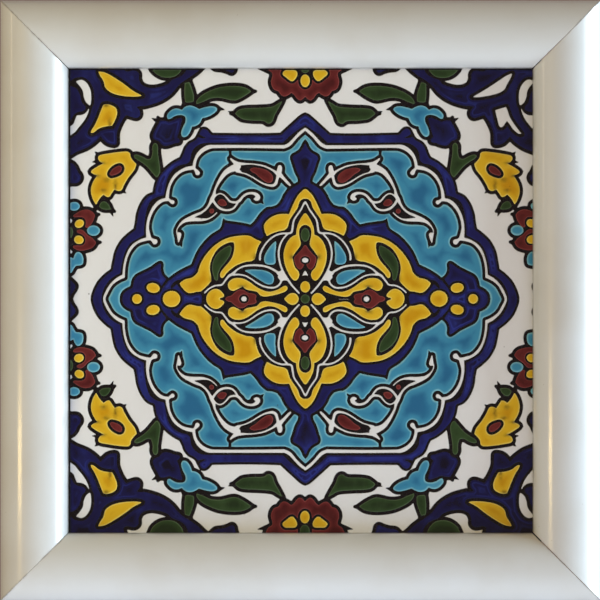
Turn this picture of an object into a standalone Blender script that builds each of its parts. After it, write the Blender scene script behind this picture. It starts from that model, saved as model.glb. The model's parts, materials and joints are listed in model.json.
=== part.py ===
"""Framed ceramic tile: a glazed square tile in a mitred frame of half-round moulding.

Metres, +Z up, +X to the viewer's right. The front faces -Y and the back lies in the plane y = 0,
with the origin in the middle of the back, where it meets the wall.
"""

import math

import bmesh
import bpy
from mathutils import Matrix, Vector

OBJECT_NAME = "framed_ceramic_tile"

# Clearances
SEAT_GAP = 0.0003  # between faces that touch
TILE_PLAY = 0.0005  # between the tile's edge and the rebate, on each side
BOARD_PLAY = 0.0005  # between the board's edge and the rebate, on each side
RECESS_PLAY = 0.0004  # round the hanger in its recess

# Tile
TILE_SIDE = 0.150
TILE_THICKNESS = 0.0065
TILE_ARRIS = 0.0008

# Backing board, flush with the back of the frame
BOARD_THICKNESS = 0.0020

# Moulding: a half-round crown on a low straight base, with a rebate behind its inner edge
FACE_WIDTH = 0.021
LIP_COVER = 0.003  # how far the lip lies over the tile
LIP_THICKNESS = 0.0012
CROWN_RISE = 0.0080
CROWN_STEPS = 26
BACK_ARRIS = 0.0006

# Sawtooth hanger
HANGER_LENGTH = 0.044
HANGER_HEIGHT = 0.0085
HANGER_THICKNESS = 0.0008
HANGER_END_RADIUS = 0.0022
TOOTH_COUNT = 9
TOOTH_PITCH = 0.0028
TOOTH_DEPTH = 0.0018

# Nails of the hanger
NAIL_SPACING = 0.0370
NAIL_HEAD_RADIUS = 0.0018
NAIL_HEAD_THICKNESS = 0.0006
NAIL_SHANK_RADIUS = 0.0006
NAIL_LENGTH = 0.0070
NAIL_POINT = 0.0012

# Space behind and below the teeth for the wall's nail
POCKET_EXTRA_DEPTH = 0.0015
POCKET_BELOW_TEETH = 0.0024
POCKET_SIDE_MARGIN = 0.0016

SMOOTH_ANGLE = math.radians(30)
ROUND_SIDES = 24
CUTTER_OVERSHOOT = 0.002

# Sizes that follow from those above
REBATE_WIDTH = LIP_COVER + TILE_PLAY
REBATE_DEPTH = BOARD_THICKNESS + SEAT_GAP + TILE_THICKNESS + SEAT_GAP
BASE_HEIGHT = REBATE_DEPTH + LIP_THICKNESS
SIGHT = TILE_SIDE - 2 * LIP_COVER
OUTER_SIDE = SIGHT + 2 * FACE_WIDTH
BOARD_SIDE = SIGHT + 2 * REBATE_WIDTH - 2 * BOARD_PLAY
PLATE_BACK = NAIL_HEAD_THICKNESS + SEAT_GAP  # depth of the hanger's outer face
SEAT_DEPTH = PLATE_BACK + HANGER_THICKNESS + SEAT_GAP
HANGER_Z = SIGHT / 2 + (REBATE_WIDTH + FACE_WIDTH) / 2


def clear_scene():
    """Remove every object of the open scene."""
    for item in list(bpy.data.objects):
        bpy.data.objects.remove(item)


def collection(name):
    """A new collection in the scene."""
    made = bpy.data.collections.new(name)
    bpy.context.scene.collection.children.link(made)
    return made


def material(name, colour, roughness, metallic=0.0):
    """A Principled material of one colour."""
    made = bpy.data.materials.new(name)
    made.use_nodes = True
    shader = made.node_tree.nodes["Principled BSDF"]
    shader.inputs["Base Color"].default_value = (*colour, 1.0)
    shader.inputs["Roughness"].default_value = roughness
    shader.inputs["Metallic"].default_value = metallic
    return made


def add_object(name, bm, group, finish=None):
    """Turn a bmesh into a named object in a collection."""
    bmesh.ops.recalc_face_normals(bm, faces=bm.faces)
    mesh = bpy.data.meshes.new(name)
    bm.to_mesh(mesh)
    bm.free()
    made = bpy.data.objects.new(name, mesh)
    group.objects.link(made)
    if finish:
        mesh.materials.append(finish)
    return made


def box(size, centre):
    """A bmesh box."""
    bm = bmesh.new()
    bmesh.ops.create_cube(bm, size=1.0)
    bmesh.ops.scale(bm, vec=size, verts=bm.verts)
    bmesh.ops.translate(bm, vec=centre, verts=bm.verts)
    return bm


def extruded_outlines(outlines, thickness):
    """A bmesh plate in the XZ plane, its middle at y = 0, from closed outlines of (x, z) points."""
    curve = bpy.data.curves.new("outline", "CURVE")
    curve.dimensions = "2D"
    curve.fill_mode = "BOTH"
    curve.extrude = thickness / 2
    for outline in outlines:
        spline = curve.splines.new("POLY")
        spline.points.add(len(outline) - 1)
        for point, (x, z) in zip(spline.points, outline):
            point.co = (x, z, 0, 1)
        spline.use_cyclic_u = True
    guide = bpy.data.objects.new("outline", curve)
    bpy.context.scene.collection.objects.link(guide)
    graph = bpy.context.evaluated_depsgraph_get()
    mesh = bpy.data.meshes.new_from_object(guide.evaluated_get(graph))
    bm = bmesh.new()
    bm.from_mesh(mesh)
    bpy.data.objects.remove(guide)
    bpy.data.meshes.remove(mesh)
    bmesh.ops.remove_doubles(bm, verts=bm.verts, dist=0.00001)
    bmesh.ops.rotate(bm, matrix=Matrix.Rotation(math.pi / 2, 3, "X"), verts=bm.verts)
    return bm


def arc(centre, radius, start, end, steps):
    """Points along an arc, its angles in degrees."""
    angles = [math.radians(start + (end - start) * i / steps) for i in range(steps + 1)]
    return [
        (centre[0] + radius * math.cos(a), centre[1] + radius * math.sin(a))
        for a in angles
    ]


def moulding_profile():
    """Section of the moulding: (distance out from the sight edge, height over the back)."""
    half = FACE_WIDTH / 2
    crown = []
    for step in range(CROWN_STEPS + 1):
        turn = math.pi * step / CROWN_STEPS
        across = half - half * math.cos(turn)
        crown.append((across, BASE_HEIGHT + CROWN_RISE * math.sin(turn)))
    return [
        (REBATE_WIDTH, 0),
        (REBATE_WIDTH, REBATE_DEPTH),
        (0, REBATE_DEPTH),
        *crown,
        (FACE_WIDTH, BACK_ARRIS),
        (FACE_WIDTH - BACK_ARRIS, 0),
    ]


def frame_length(name, quarter_turns, group, finish):
    """One mitred length of the frame: the top one, turned by quarters of a turn clockwise."""
    bm = extruded_outlines([moulding_profile()], OUTER_SIDE + 2 * CUTTER_OVERSHOOT)
    # The section stands with its width along Z and its height towards -Y, and runs along X.
    across, out, along = Vector((0, 0, 1)), Vector((0, -1, 0)), Vector((-1, 0, 0))
    bmesh.ops.transform(
        bm, matrix=Matrix((across, along, out)).transposed().to_4x4(), verts=bm.verts
    )
    bmesh.ops.translate(bm, vec=(0, 0, SIGHT / 2), verts=bm.verts)
    for side in (-1, 1):
        cut = bmesh.ops.bisect_plane(
            bm,
            geom=[*bm.verts, *bm.edges, *bm.faces],
            plane_co=(-side * SEAT_GAP / math.sqrt(2), 0, 0),
            plane_no=Vector((side, 0, -1)).normalized(),
            clear_outer=True,
        )
        rim = [item for item in cut["geom_cut"] if isinstance(item, bmesh.types.BMEdge)]
        bmesh.ops.contextual_create(bm, geom=rim)
    turn = Matrix.Rotation(quarter_turns * math.pi / 2, 3, "Y")
    bmesh.ops.rotate(bm, matrix=turn, verts=bm.verts)
    length = add_object(name, bm, group, finish)
    length.data.shade_smooth()
    length.data.set_sharp_from_angle(angle=SMOOTH_ANGLE)
    return length


def cut_from(target, cutter):
    """Cut one mesh object out of another with a live Boolean."""
    cutter.hide_render = True
    cutter.display_type = "WIRE"
    modifier = target.modifiers.new("cut_" + cutter.name, "BOOLEAN")
    modifier.operation = "DIFFERENCE"
    modifier.solver = "EXACT"
    modifier.object = cutter


def bevel(target, width, segments=2):
    """Round the edges of an object."""
    modifier = target.modifiers.new("arris", "BEVEL")
    modifier.width = width
    modifier.segments = segments
    modifier.limit_method = "ANGLE"


def hanger_outline():
    """Outline of the toothed strip about its own middle, teeth along its lower edge."""
    half_x, half_z = HANGER_LENGTH / 2, HANGER_HEIGHT / 2
    radius = min(HANGER_END_RADIUS, half_x, half_z)
    corner_x, corner_z = half_x - radius, half_z - radius
    teeth = []
    left = -TOOTH_COUNT * TOOTH_PITCH / 2
    for tooth in range(TOOTH_COUNT):
        start = left + tooth * TOOTH_PITCH
        teeth.append((start, -half_z))
        teeth.append((start + TOOTH_PITCH / 2, -half_z + TOOTH_DEPTH))
    teeth.append((left + TOOTH_COUNT * TOOTH_PITCH, -half_z))
    return [
        *arc((-corner_x, -corner_z), radius, 180, 270, 5),
        *teeth,
        *arc((corner_x, -corner_z), radius, 270, 360, 5),
        *arc((corner_x, corner_z), radius, 0, 90, 5),
        *arc((-corner_x, corner_z), radius, 90, 180, 5),
    ]


def nail_places():
    """Signed X places of the hanger's two nails, with the ends of their names."""
    return (("left", -NAIL_SPACING / 2), ("right", NAIL_SPACING / 2))


def add_hanger(group, cutters, finish):
    """The toothed strip with a hole for each nail."""
    bm = extruded_outlines([hanger_outline()], HANGER_THICKNESS)
    middle_y = -PLATE_BACK - HANGER_THICKNESS / 2
    bmesh.ops.translate(bm, vec=(0, middle_y, HANGER_Z), verts=bm.verts)
    hanger = add_object("sawtooth_hanger", bm, group, finish)
    hole_length = HANGER_THICKNESS + 2 * CUTTER_OVERSHOOT
    for end, x in nail_places():
        hole = rod(
            NAIL_SHANK_RADIUS + SEAT_GAP, NAIL_SHANK_RADIUS + SEAT_GAP, hole_length
        )
        bmesh.ops.translate(hole, vec=(x, middle_y, HANGER_Z), verts=hole.verts)
        cut_from(hanger, add_object("hanger_hole_" + end, hole, cutters))
    return hanger


def rod(back_radius, front_radius, length):
    """A bmesh cylinder or cone along Y, its middle at the origin."""
    bm = bmesh.new()
    bmesh.ops.create_cone(
        bm,
        cap_ends=True,
        segments=ROUND_SIDES,
        radius1=back_radius,
        radius2=front_radius,
        depth=length,
    )
    bmesh.ops.rotate(bm, matrix=Matrix.Rotation(math.pi / 2, 3, "X"), verts=bm.verts)
    return bm


def nail_profile():
    """Half section of a nail: (radius, depth from the frame's back)."""
    shank_end = NAIL_HEAD_THICKNESS + NAIL_LENGTH
    return [
        (0, 0),
        (NAIL_HEAD_RADIUS, 0),
        (NAIL_HEAD_RADIUS, NAIL_HEAD_THICKNESS),
        (NAIL_SHANK_RADIUS, NAIL_HEAD_THICKNESS),
        (NAIL_SHANK_RADIUS, shank_end - NAIL_POINT),
        (0, shank_end),
    ]


def add_nail(name, x, group, finish):
    """One nail, turned from its profile, its head flush with the back of the frame."""
    mesh = bpy.data.meshes.new(name)
    points = [(radius, 0, -depth) for radius, depth in nail_profile()]
    edges = [(i, i + 1) for i in range(len(points) - 1)]
    mesh.from_pydata(points, edges, [])
    mesh.materials.append(finish)
    nail = bpy.data.objects.new(name, mesh)
    group.objects.link(nail)
    screw = nail.modifiers.new("turn", "SCREW")
    screw.axis = "Z"
    screw.steps = ROUND_SIDES
    screw.render_steps = ROUND_SIDES
    screw.use_merge_vertices = True
    screw.merge_threshold = 0.00001
    nail.location = (x, 0, HANGER_Z)
    nail.rotation_euler = (-math.pi / 2, 0, 0)
    return nail


def cut_hanger_recess(rail, cutters):
    """The seat of the strip, the pocket behind its teeth and the holes of its nails."""
    seat = box(
        (
            HANGER_LENGTH + 2 * RECESS_PLAY,
            SEAT_DEPTH + CUTTER_OVERSHOOT,
            HANGER_HEIGHT + 2 * RECESS_PLAY,
        ),
        (0, (CUTTER_OVERSHOOT - SEAT_DEPTH) / 2, HANGER_Z),
    )
    cut_from(rail, add_object("recess_seat", seat, cutters))
    pocket_depth = SEAT_DEPTH + POCKET_EXTRA_DEPTH
    low = HANGER_Z - HANGER_HEIGHT / 2 - POCKET_BELOW_TEETH
    high = HANGER_Z + HANGER_HEIGHT / 2 - TOOTH_DEPTH
    pocket = box(
        (
            TOOTH_COUNT * TOOTH_PITCH + 2 * POCKET_SIDE_MARGIN,
            pocket_depth + CUTTER_OVERSHOOT,
            high - low,
        ),
        (0, (CUTTER_OVERSHOOT - pocket_depth) / 2, (high + low) / 2),
    )
    cut_from(rail, add_object("recess_pocket", pocket, cutters))
    bore_depth = NAIL_HEAD_THICKNESS + NAIL_LENGTH + SEAT_GAP
    for end, x in nail_places():
        radius = NAIL_SHANK_RADIUS + SEAT_GAP
        bore = rod(radius, radius, bore_depth + CUTTER_OVERSHOOT)
        bmesh.ops.translate(
            bore,
            vec=(x, (CUTTER_OVERSHOOT - bore_depth) / 2, HANGER_Z),
            verts=bore.verts,
        )
        cut_from(rail, add_object("nail_bore_" + end, bore, cutters))


def add_tile(group, finish):
    """The tile, its face just behind the lip, with softened edges."""
    back = -BOARD_THICKNESS - SEAT_GAP
    bm = box(
        (TILE_SIDE, TILE_THICKNESS, TILE_SIDE), (0, back - TILE_THICKNESS / 2, 0)
    )
    tile = add_object("ceramic_tile", bm, group, finish)
    bevel(tile, TILE_ARRIS)
    return tile


def add_board(group, finish):
    """The backing board, flush with the back of the frame."""
    bm = box((BOARD_SIDE, BOARD_THICKNESS, BOARD_SIDE), (0, -BOARD_THICKNESS / 2, 0))
    return add_object("backing_board", bm, group, finish)


def main():
    """Build the tile, its frame and what holds it on the wall."""
    clear_scene()
    parts = collection(OBJECT_NAME)
    cutters = collection("cutters")
    lacquer = material("white_lacquer", (0.86, 0.85, 0.82), 0.12)
    glaze = material("painted_glaze", (0.20, 0.34, 0.52), 0.08)
    hardboard = material("hardboard", (0.30, 0.18, 0.10), 0.75)
    steel = material("zinc_plated_steel", (0.62, 0.62, 0.60), 0.35, 1.0)
    lengths = ("frame_top_rail", "frame_right_stile", "frame_bottom_rail")
    lengths += ("frame_left_stile",)
    rails = [
        frame_length(name, turns, parts, lacquer) for turns, name in enumerate(lengths)
    ]
    cut_hanger_recess(rails[0], cutters)
    add_tile(parts, glaze)
    add_board(parts, hardboard)
    add_hanger(parts, cutters, steel)
    for end, x in nail_places():
        add_nail("hanger_nail_" + end, x, parts, steel)


main()
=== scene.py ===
"""Dressed model of a framed ceramic tile: painted glazes, lacquered moulding, board and steel hanger.

Metres in Blender, in the CAD model's frame: +Z up, +X to the viewer's right, the glazed face towards -Y.
The drawing of the tile is in millimetres about the middle of its pattern.
"""

from __future__ import annotations

import json
import logging
import math
from dataclasses import dataclass, field
from enum import Enum

import bmesh
import bpy
import numpy as np
from mathutils import Matrix, Vector, kdtree
from mathutils.geometry import delaunay_2d_cdt

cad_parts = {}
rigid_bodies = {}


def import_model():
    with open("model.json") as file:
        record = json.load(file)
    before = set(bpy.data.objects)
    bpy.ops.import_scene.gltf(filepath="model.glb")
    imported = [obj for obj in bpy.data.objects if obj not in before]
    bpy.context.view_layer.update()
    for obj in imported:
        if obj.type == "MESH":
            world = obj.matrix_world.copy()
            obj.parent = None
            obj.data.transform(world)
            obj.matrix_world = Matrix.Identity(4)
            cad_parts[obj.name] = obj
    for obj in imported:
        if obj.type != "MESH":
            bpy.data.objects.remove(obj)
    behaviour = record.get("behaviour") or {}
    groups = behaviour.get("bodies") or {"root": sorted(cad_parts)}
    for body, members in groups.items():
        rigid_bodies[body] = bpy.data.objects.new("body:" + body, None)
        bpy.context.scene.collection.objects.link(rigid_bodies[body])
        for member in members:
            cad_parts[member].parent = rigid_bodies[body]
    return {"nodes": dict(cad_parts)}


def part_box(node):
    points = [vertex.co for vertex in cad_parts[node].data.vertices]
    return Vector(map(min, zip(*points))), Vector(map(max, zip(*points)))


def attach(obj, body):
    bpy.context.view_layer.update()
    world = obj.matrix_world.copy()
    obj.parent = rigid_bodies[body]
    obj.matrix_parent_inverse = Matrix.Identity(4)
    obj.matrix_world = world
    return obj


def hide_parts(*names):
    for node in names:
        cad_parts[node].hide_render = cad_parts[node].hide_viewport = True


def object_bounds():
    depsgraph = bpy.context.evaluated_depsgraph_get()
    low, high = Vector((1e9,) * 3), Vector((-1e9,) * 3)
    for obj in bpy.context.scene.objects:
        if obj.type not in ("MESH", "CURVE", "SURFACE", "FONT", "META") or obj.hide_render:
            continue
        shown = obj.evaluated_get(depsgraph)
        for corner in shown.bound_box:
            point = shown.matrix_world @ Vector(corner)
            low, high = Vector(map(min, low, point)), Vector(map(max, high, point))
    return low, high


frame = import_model()
CAD_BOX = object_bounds()

LOG = logging.getLogger("framed_tile")
MM = 0.001
BODY = "root"
SHARP_ANGLE = math.radians(32)
# The Weighted Normal modifier's weight that lets the broadest faces rule
BROAD_FACES = 100
NAILS = ("hanger_nail_left", "hanger_nail_right")

Colour = tuple[float, float, float]
Place = tuple[float, float, float]
Span = tuple[float, float]
Link = bpy.types.NodeSocket
# An area of the drawing: a grid of distances in mm to the area's rim, negative inside
Area = np.ndarray


def paint(red: int, green: int, blue: int) -> Colour:
    """A linear colour from the eight-bit values of a paint card."""
    shares = (red / 255, green / 255, blue / 255)
    return tuple(s / 12.92 if s <= 0.04045 else ((s + 0.055) / 1.055) ** 2.4 for s in shares)


# Shader maths


class Value:
    """A number socket of a node tree, whose operators add Math nodes."""

    def __init__(self, recipe: Recipe, socket: Link) -> None:
        """Wrap an output socket of a recipe's tree."""
        self.recipe = recipe
        self.socket = socket

    def _math(self, operation: str, *inputs: Value | float) -> Value:
        """The result of one Math node."""
        made = self.recipe.add("ShaderNodeMath", {"operation": operation}, dict(enumerate(inputs)))
        return Value(self.recipe, made.outputs[0])

    def __add__(self, other: Value | float) -> Value:
        """The sum."""
        return self._math("ADD", self, other)

    def __radd__(self, other: float) -> Value:
        """The sum, with the number first."""
        return self._math("ADD", other, self)

    def __sub__(self, other: Value | float) -> Value:
        """The difference."""
        return self._math("SUBTRACT", self, other)

    def __rsub__(self, other: float) -> Value:
        """The difference, with the number first."""
        return self._math("SUBTRACT", other, self)

    def __mul__(self, other: Value | float) -> Value:
        """The product."""
        return self._math("MULTIPLY", self, other)

    def __rmul__(self, other: float) -> Value:
        """The product, with the number first."""
        return self._math("MULTIPLY", other, self)

    def __pow__(self, other: float) -> Value:
        """The power."""
        return self._math("POWER", self, other)

    def larger(self, other: Value | float) -> Value:
        """The larger of the two."""
        return self._math("MAXIMUM", self, other)

    def size(self) -> Value:
        """The value without its sign."""
        return self._math("ABSOLUTE", self)

    def sine(self) -> Value:
        """The sine of the value, which is in radians."""
        return self._math("SINE", self)

    def between(self, low: float, high: float) -> Value:
        """A soft step from 0 at low to 1 at high.

        Args:
            low: Where the step starts.
            high: Where it ends; it may be under low, for a step that falls.

        Returns:
            The step.
        """
        sockets = {0: self, 1: low, 2: high}
        made = self.recipe.add("ShaderNodeMapRange", {"interpolation_type": "SMOOTHSTEP"}, sockets)
        return Value(self.recipe, made.outputs[0])


# A speck's fully dark middle, as a share of its radius
SPECK_CORE = 0.4


class Recipe:
    """The node tree of one finish."""

    def __init__(self, name: str) -> None:
        """Start a material with its Principled shader.

        Args:
            name: The material's name.
        """
        self.material = bpy.data.materials.new(name)
        self.material.use_nodes = True
        self.tree = self.material.node_tree
        self.shader = self.tree.nodes["Principled BSDF"]
        self.place = self.add("ShaderNodeTexCoord", {}, {}).outputs["Object"]

    def add(self, kind: str, settings: dict, sockets: dict) -> bpy.types.Node:
        """Add any node.

        Args:
            kind: The node's type.
            settings: Its properties, which are set first.
            sockets: Values, colours or links of its inputs, by name or by number.

        Returns:
            The node.
        """
        made = self.tree.nodes.new(kind)
        for name, value in settings.items():
            setattr(made, name, value)
        for name, value in sockets.items():
            self.feed(made.inputs[name], value)
        return made

    def feed(self, socket: Link, value: object) -> None:
        """Give an input a value, a colour or a link.

        Args:
            socket: The input.
            value: A number, a tuple, a Value or an output socket.
        """
        if isinstance(value, Value):
            value = value.socket
        if isinstance(value, Link):
            self.tree.links.new(value, socket)
        elif isinstance(value, tuple) and len(value) == 3 and socket.type == "RGBA":
            socket.default_value = (*value, 1.0)
        else:
            socket.default_value = value

    def vector(self, x: Value, y: Value) -> Link:
        """A place made of two values."""
        return self.add("ShaderNodeCombineXYZ", {}, {"X": x, "Y": y}).outputs[0]

    def noise(
        self, scale: float, detail: float, stretch: Place = (1, 1, 1), turn: float = 0.0,
        place: Link | None = None,
    ) -> Value:
        """A cloudy value about 0.5.

        Args:
            scale: Waves in a metre.
            detail: Octaves.
            stretch: Factors on the three coordinates.
            turn: Turn of the coordinates about Y, in radians.
            place: The coordinates, Object coordinates where none are given.

        Returns:
            The cloud.
        """
        place = place or self.place
        if stretch != (1, 1, 1) or turn:
            sockets = {"Vector": place, "Rotation": (0.0, turn, 0.0), "Scale": stretch}
            place = self.add("ShaderNodeMapping", {}, sockets).outputs[0]
        sockets = {"Vector": place, "Scale": scale, "Detail": detail}
        made = self.add("ShaderNodeTexNoise", {}, sockets)
        return Value(self, made.outputs[0])

    def specks(self, scale: float, radius: float) -> Value:
        """Small round specks, 1 in their middles and 0 off them, of a radius that is a share of a cell."""
        made = self.add("ShaderNodeTexVoronoi", {"feature": "F1"}, {"Vector": self.place, "Scale": scale})
        return Value(self, made.outputs["Distance"]).between(radius, radius * SPECK_CORE)

    def spot(self, x: float, z: float, radius: float) -> Value:
        """One round speck at a place on the face, 1 in its middle and 0 off it."""
        away = ((self.axis("X") - x) ** 2 + (self.axis("Z") - z) ** 2) ** 0.5
        return away.between(radius, radius * SPECK_CORE)

    def attribute(self, name: str) -> Value:
        """The piece's own attribute of that name."""
        made = self.add("ShaderNodeAttribute", {"attribute_name": name}, {})
        return Value(self, made.outputs["Fac"])

    def axis(self, letter: str) -> Value:
        """One of the Object coordinates: X, Y or Z."""
        made = self.add("ShaderNodeSeparateXYZ", {}, {0: self.place})
        return Value(self, made.outputs[letter])

    def rough(self, least: float, spread: float, scale: float, detail: float = 2.0) -> Value:
        """A roughness that a cloud raises from its least."""
        return least + spread * self.noise(scale, detail)

    def mix(self, amount: Value | float, first: object, second: object) -> Link:
        """Two colours mixed, by the share of the second."""
        made = self.add("ShaderNodeMix", {"data_type": "RGBA"}, {0: amount, 6: first, 7: second})
        return made.outputs[2]

    def bump(self, height: Value, distance: float, strength: float) -> Link:
        """A normal bent by a height of 0 to 1, where 1 is the distance in metres."""
        sockets = {"Height": height, "Distance": distance, "Strength": strength}
        return self.add("ShaderNodeBump", {}, sockets).outputs[0]

    def finish(self, **sockets: object) -> bpy.types.Material:
        """Feed the shader and give the material.

        Args:
            sockets: The shader's inputs, with _ for a space.

        Returns:
            The material.
        """
        for name, value in sockets.items():
            self.feed(self.shader.inputs[name.replace("_", " ")], value)
        return self.material


# Finishes: scales are in waves or cells a metre; a roughness is its least, what a cloud adds and the
# cloud's scale; a relief is its height in metres and the strength of the bump

# Paler strokes along a glaze's rim, partly thin glaze and partly painted highlight standing in for glints
# on the rim's slope: where each starts and ends, in mm from it, the scale of its patches, the scale of its
# wander and the turn of its patches
RIM_STROKES_AND_GLINTS = ((0.35, 1.05, 85, 255, 0.85), (1.3, 2.5, 60, 180, 0.6))
# The values of a cloud between which its patches fade in
PATCHES = (0.35, 0.7)


@dataclass(frozen=True)
class GlazeFinish:
    """A pooled glaze: thin and pale at its rim, deep in its middle, with the streaks of a brush and, where
    brushed, paler rim strokes that are partly painted highlight.
    """

    name: str
    rim: Colour
    body: Colour
    deep: Colour
    # The streaks' colour, also that of the rim strokes, which are partly painted highlight
    streak_and_glint: Colour
    rim_width: float
    deep_width: float
    cloud: float = 0.5
    streaks: float = 0.3
    stain: Colour = paint(60, 42, 14)
    roughness: tuple[float, ...] = (0.09, 0.08, 420)
    specks: tuple[tuple[float, float, float, float], ...] = ()
    brushed: float = 0.0
    cloud_scale: float = 130
    brush_scale: float = 160
    brush_stretch: Place = (1.0, 1.0, 0.28)
    brush_turn: float = 0.6
    stroke_wander: float = 0.7
    speck_scale: float = 95
    speck_radius: float = 0.035
    ripple_scale: float = 240
    pinhole_scale: float = 1100
    refraction: float = 1.5
    # How far clouds shift the thin rim and the deep middle, as shares of their widths
    rim_sway: float = 1.2
    deep_sway: float = 4.0
    streak_patches: Span = (0.5, 0.72)
    stroke_patches: Span = (0.46, 0.66)
    speck_share: float = 0.5
    pinhole_depth: float = 0.25
    relief: Span = (0.04 * MM, 0.4)

    def material(self) -> bpy.types.Material:
        """Mix the glaze, by how far each point is from the rim in millimetres.

        Returns:
            The glaze's material.
        """
        recipe = Recipe(self.name)
        edge = recipe.attribute("rim_distance")
        clouds = recipe.noise(self.cloud_scale, 3)
        brush = recipe.noise(self.brush_scale, 4, self.brush_stretch, self.brush_turn)
        near = edge + (clouds - 0.5) * (self.rim_width * self.rim_sway)
        colour = recipe.mix(near.between(0.0, self.rim_width), self.rim, self.body)
        far = edge + (clouds - 0.5) * (self.deep_width * self.cloud * self.deep_sway)
        colour = recipe.mix(far.between(self.rim_width, self.deep_width), colour, self.deep)
        colour = recipe.mix(brush.between(*self.streak_patches) * self.streaks, colour, self.streak_and_glint)
        # Rim strokes: partly thin glaze, partly painted highlight of glints on the pooled rim
        if self.brushed:
            colour = self._rim_strokes_and_glints(recipe, edge, colour)
        colour = recipe.mix(recipe.attribute("stain"), colour, self.stain)
        specks = recipe.specks(self.speck_scale, self.speck_radius)
        colour = recipe.mix(specks * self.speck_share, colour, self.stain)
        for x, z, radius, strength in self.specks:
            colour = recipe.mix(recipe.spot(x, z, radius) * strength, colour, self.stain)
        rough = recipe.rough(*self.roughness)
        pinholes = self.pinhole_depth * recipe.noise(self.pinhole_scale, 1)
        ripple = recipe.noise(self.ripple_scale, 2) + pinholes
        normal = recipe.bump(ripple, *self.relief)
        return recipe.finish(Base_Color=colour, Roughness=rough, IOR=self.refraction, Normal=normal)

    def _rim_strokes_and_glints(self, recipe: Recipe, edge: Value, colour: Link) -> Link:
        """Lay the paler strokes that follow the rim over a colour: thin glaze, and painted highlight for
        the rim's glints.

        Args:
            recipe: The glaze's tree.
            edge: How far a point is from the rim, in mm.
            colour: The colour under the strokes.

        Returns:
            The colour with the strokes.
        """
        for inner, outer, patch_scale, wander_scale, turn in RIM_STROKES_AND_GLINTS:
            wander = edge + (recipe.noise(wander_scale, 2) - 0.5) * self.stroke_wander
            middle = (inner + outer) / 2
            band = wander.between(inner, middle) * wander.between(outer, middle)
            patchy = recipe.noise(patch_scale, 2, turn=turn).between(*self.stroke_patches)
            colour = recipe.mix(band * patchy * self.brushed, colour, self.streak_and_glint)
        return colour


class Glaze(Enum):
    """The painted colours, each a piece of its own on the tile's face."""

    # Cobalt's brushed rim strokes are partly painted highlight: paler blue glints along its rims
    COBALT = GlazeFinish(
        "cobalt_glaze", paint(28, 32, 84), paint(23, 26, 86), paint(12, 11, 36), paint(46, 60, 150),
        rim_width=0.4, deep_width=3.0, cloud=0.35, stain=paint(9, 8, 24), brushed=0.6,
    )
    TURQUOISE = GlazeFinish(
        "turquoise_glaze", paint(126, 186, 200), paint(62, 140, 174), paint(38, 104, 146),
        paint(46, 126, 166), rim_width=0.7, deep_width=3.4, cloud=0.35,
    )
    YELLOW = GlazeFinish(
        "yellow_glaze", paint(232, 206, 100), paint(222, 178, 36), paint(204, 148, 12),
        paint(228, 190, 60), rim_width=0.5, deep_width=3.0, cloud=0.4,
    )
    RED = GlazeFinish(
        "red_glaze", paint(134, 62, 60), paint(100, 34, 35), paint(74, 22, 24), paint(126, 50, 48),
        rim_width=0.35, deep_width=1.8, cloud=0.4, streaks=0.4,
    )
    GREEN = GlazeFinish(
        "green_glaze", paint(78, 98, 68), paint(42, 65, 34), paint(30, 48, 25), paint(60, 84, 50),
        rim_width=0.4, deep_width=2.0, cloud=0.4, streaks=0.4,
    )
    WHITE = GlazeFinish(
        "white_glaze", paint(210, 210, 210), paint(230, 229, 230), paint(232, 231, 232),
        paint(223, 221, 220), rim_width=0.3, deep_width=2.0, cloud=0.3, streaks=0.25,
        stain=paint(74, 66, 60), specks=(
            (-17.5 * MM, -66.2 * MM, 0.3 * MM, 0.8),
            (-65.7 * MM, 2.1 * MM, 0.32 * MM, 0.7),
            (63.2 * MM, -14.3 * MM, 0.3 * MM, 0.3),
        ),
    )


@dataclass(frozen=True)
class PaintedLine:
    """The black line between the glazes, on the tile's own face."""

    black: Colour = paint(13, 11, 15)
    worn: Colour = paint(28, 25, 29)
    wear_scale: float = 500
    worn_patches: Span = (0.5, 0.75)
    roughness: tuple[float, ...] = (0.16, 0.2, 900)
    grain_scale: float = 1500
    relief: Span = (0.03 * MM, 0.4)

    def material(self) -> bpy.types.Material:
        """Mix the line's finish.

        Returns:
            The line's material.
        """
        recipe = Recipe("black_line")
        wear = recipe.noise(self.wear_scale, 3).between(*self.worn_patches)
        colour = recipe.mix(wear, self.black, self.worn)
        rough = recipe.rough(*self.roughness)
        normal = recipe.bump(recipe.noise(self.grain_scale, 2), *self.relief)
        return recipe.finish(Base_Color=colour, Roughness=rough, Normal=normal)


@dataclass(frozen=True)
class Biscuit:
    """The fired clay of the tile's sides and back."""

    clay: Colour = paint(226, 214, 196)
    shade: Colour = paint(196, 178, 154)
    grit: Colour = paint(150, 126, 100)
    cloud_scale: float = 90
    grit_scale: float = 420
    grit_radius: float = 0.12
    grit_share: float = 0.5
    roughness: tuple[float, ...] = (0.82, 0.1, 300)
    grain_scale: float = 900
    relief: Span = (0.1 * MM, 0.6)

    def material(self) -> bpy.types.Material:
        """Mix the clay's finish.

        Returns:
            The clay's material.
        """
        recipe = Recipe("fired_clay")
        colour = recipe.mix(recipe.noise(self.cloud_scale, 5).between(*PATCHES), self.clay, self.shade)
        specks = recipe.specks(self.grit_scale, self.grit_radius)
        colour = recipe.mix(specks * self.grit_share, colour, self.grit)
        rough = recipe.rough(*self.roughness)
        normal = recipe.bump(recipe.noise(self.grain_scale, 4), *self.relief)
        return recipe.finish(Base_Color=colour, Roughness=rough, Normal=normal)


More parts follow.
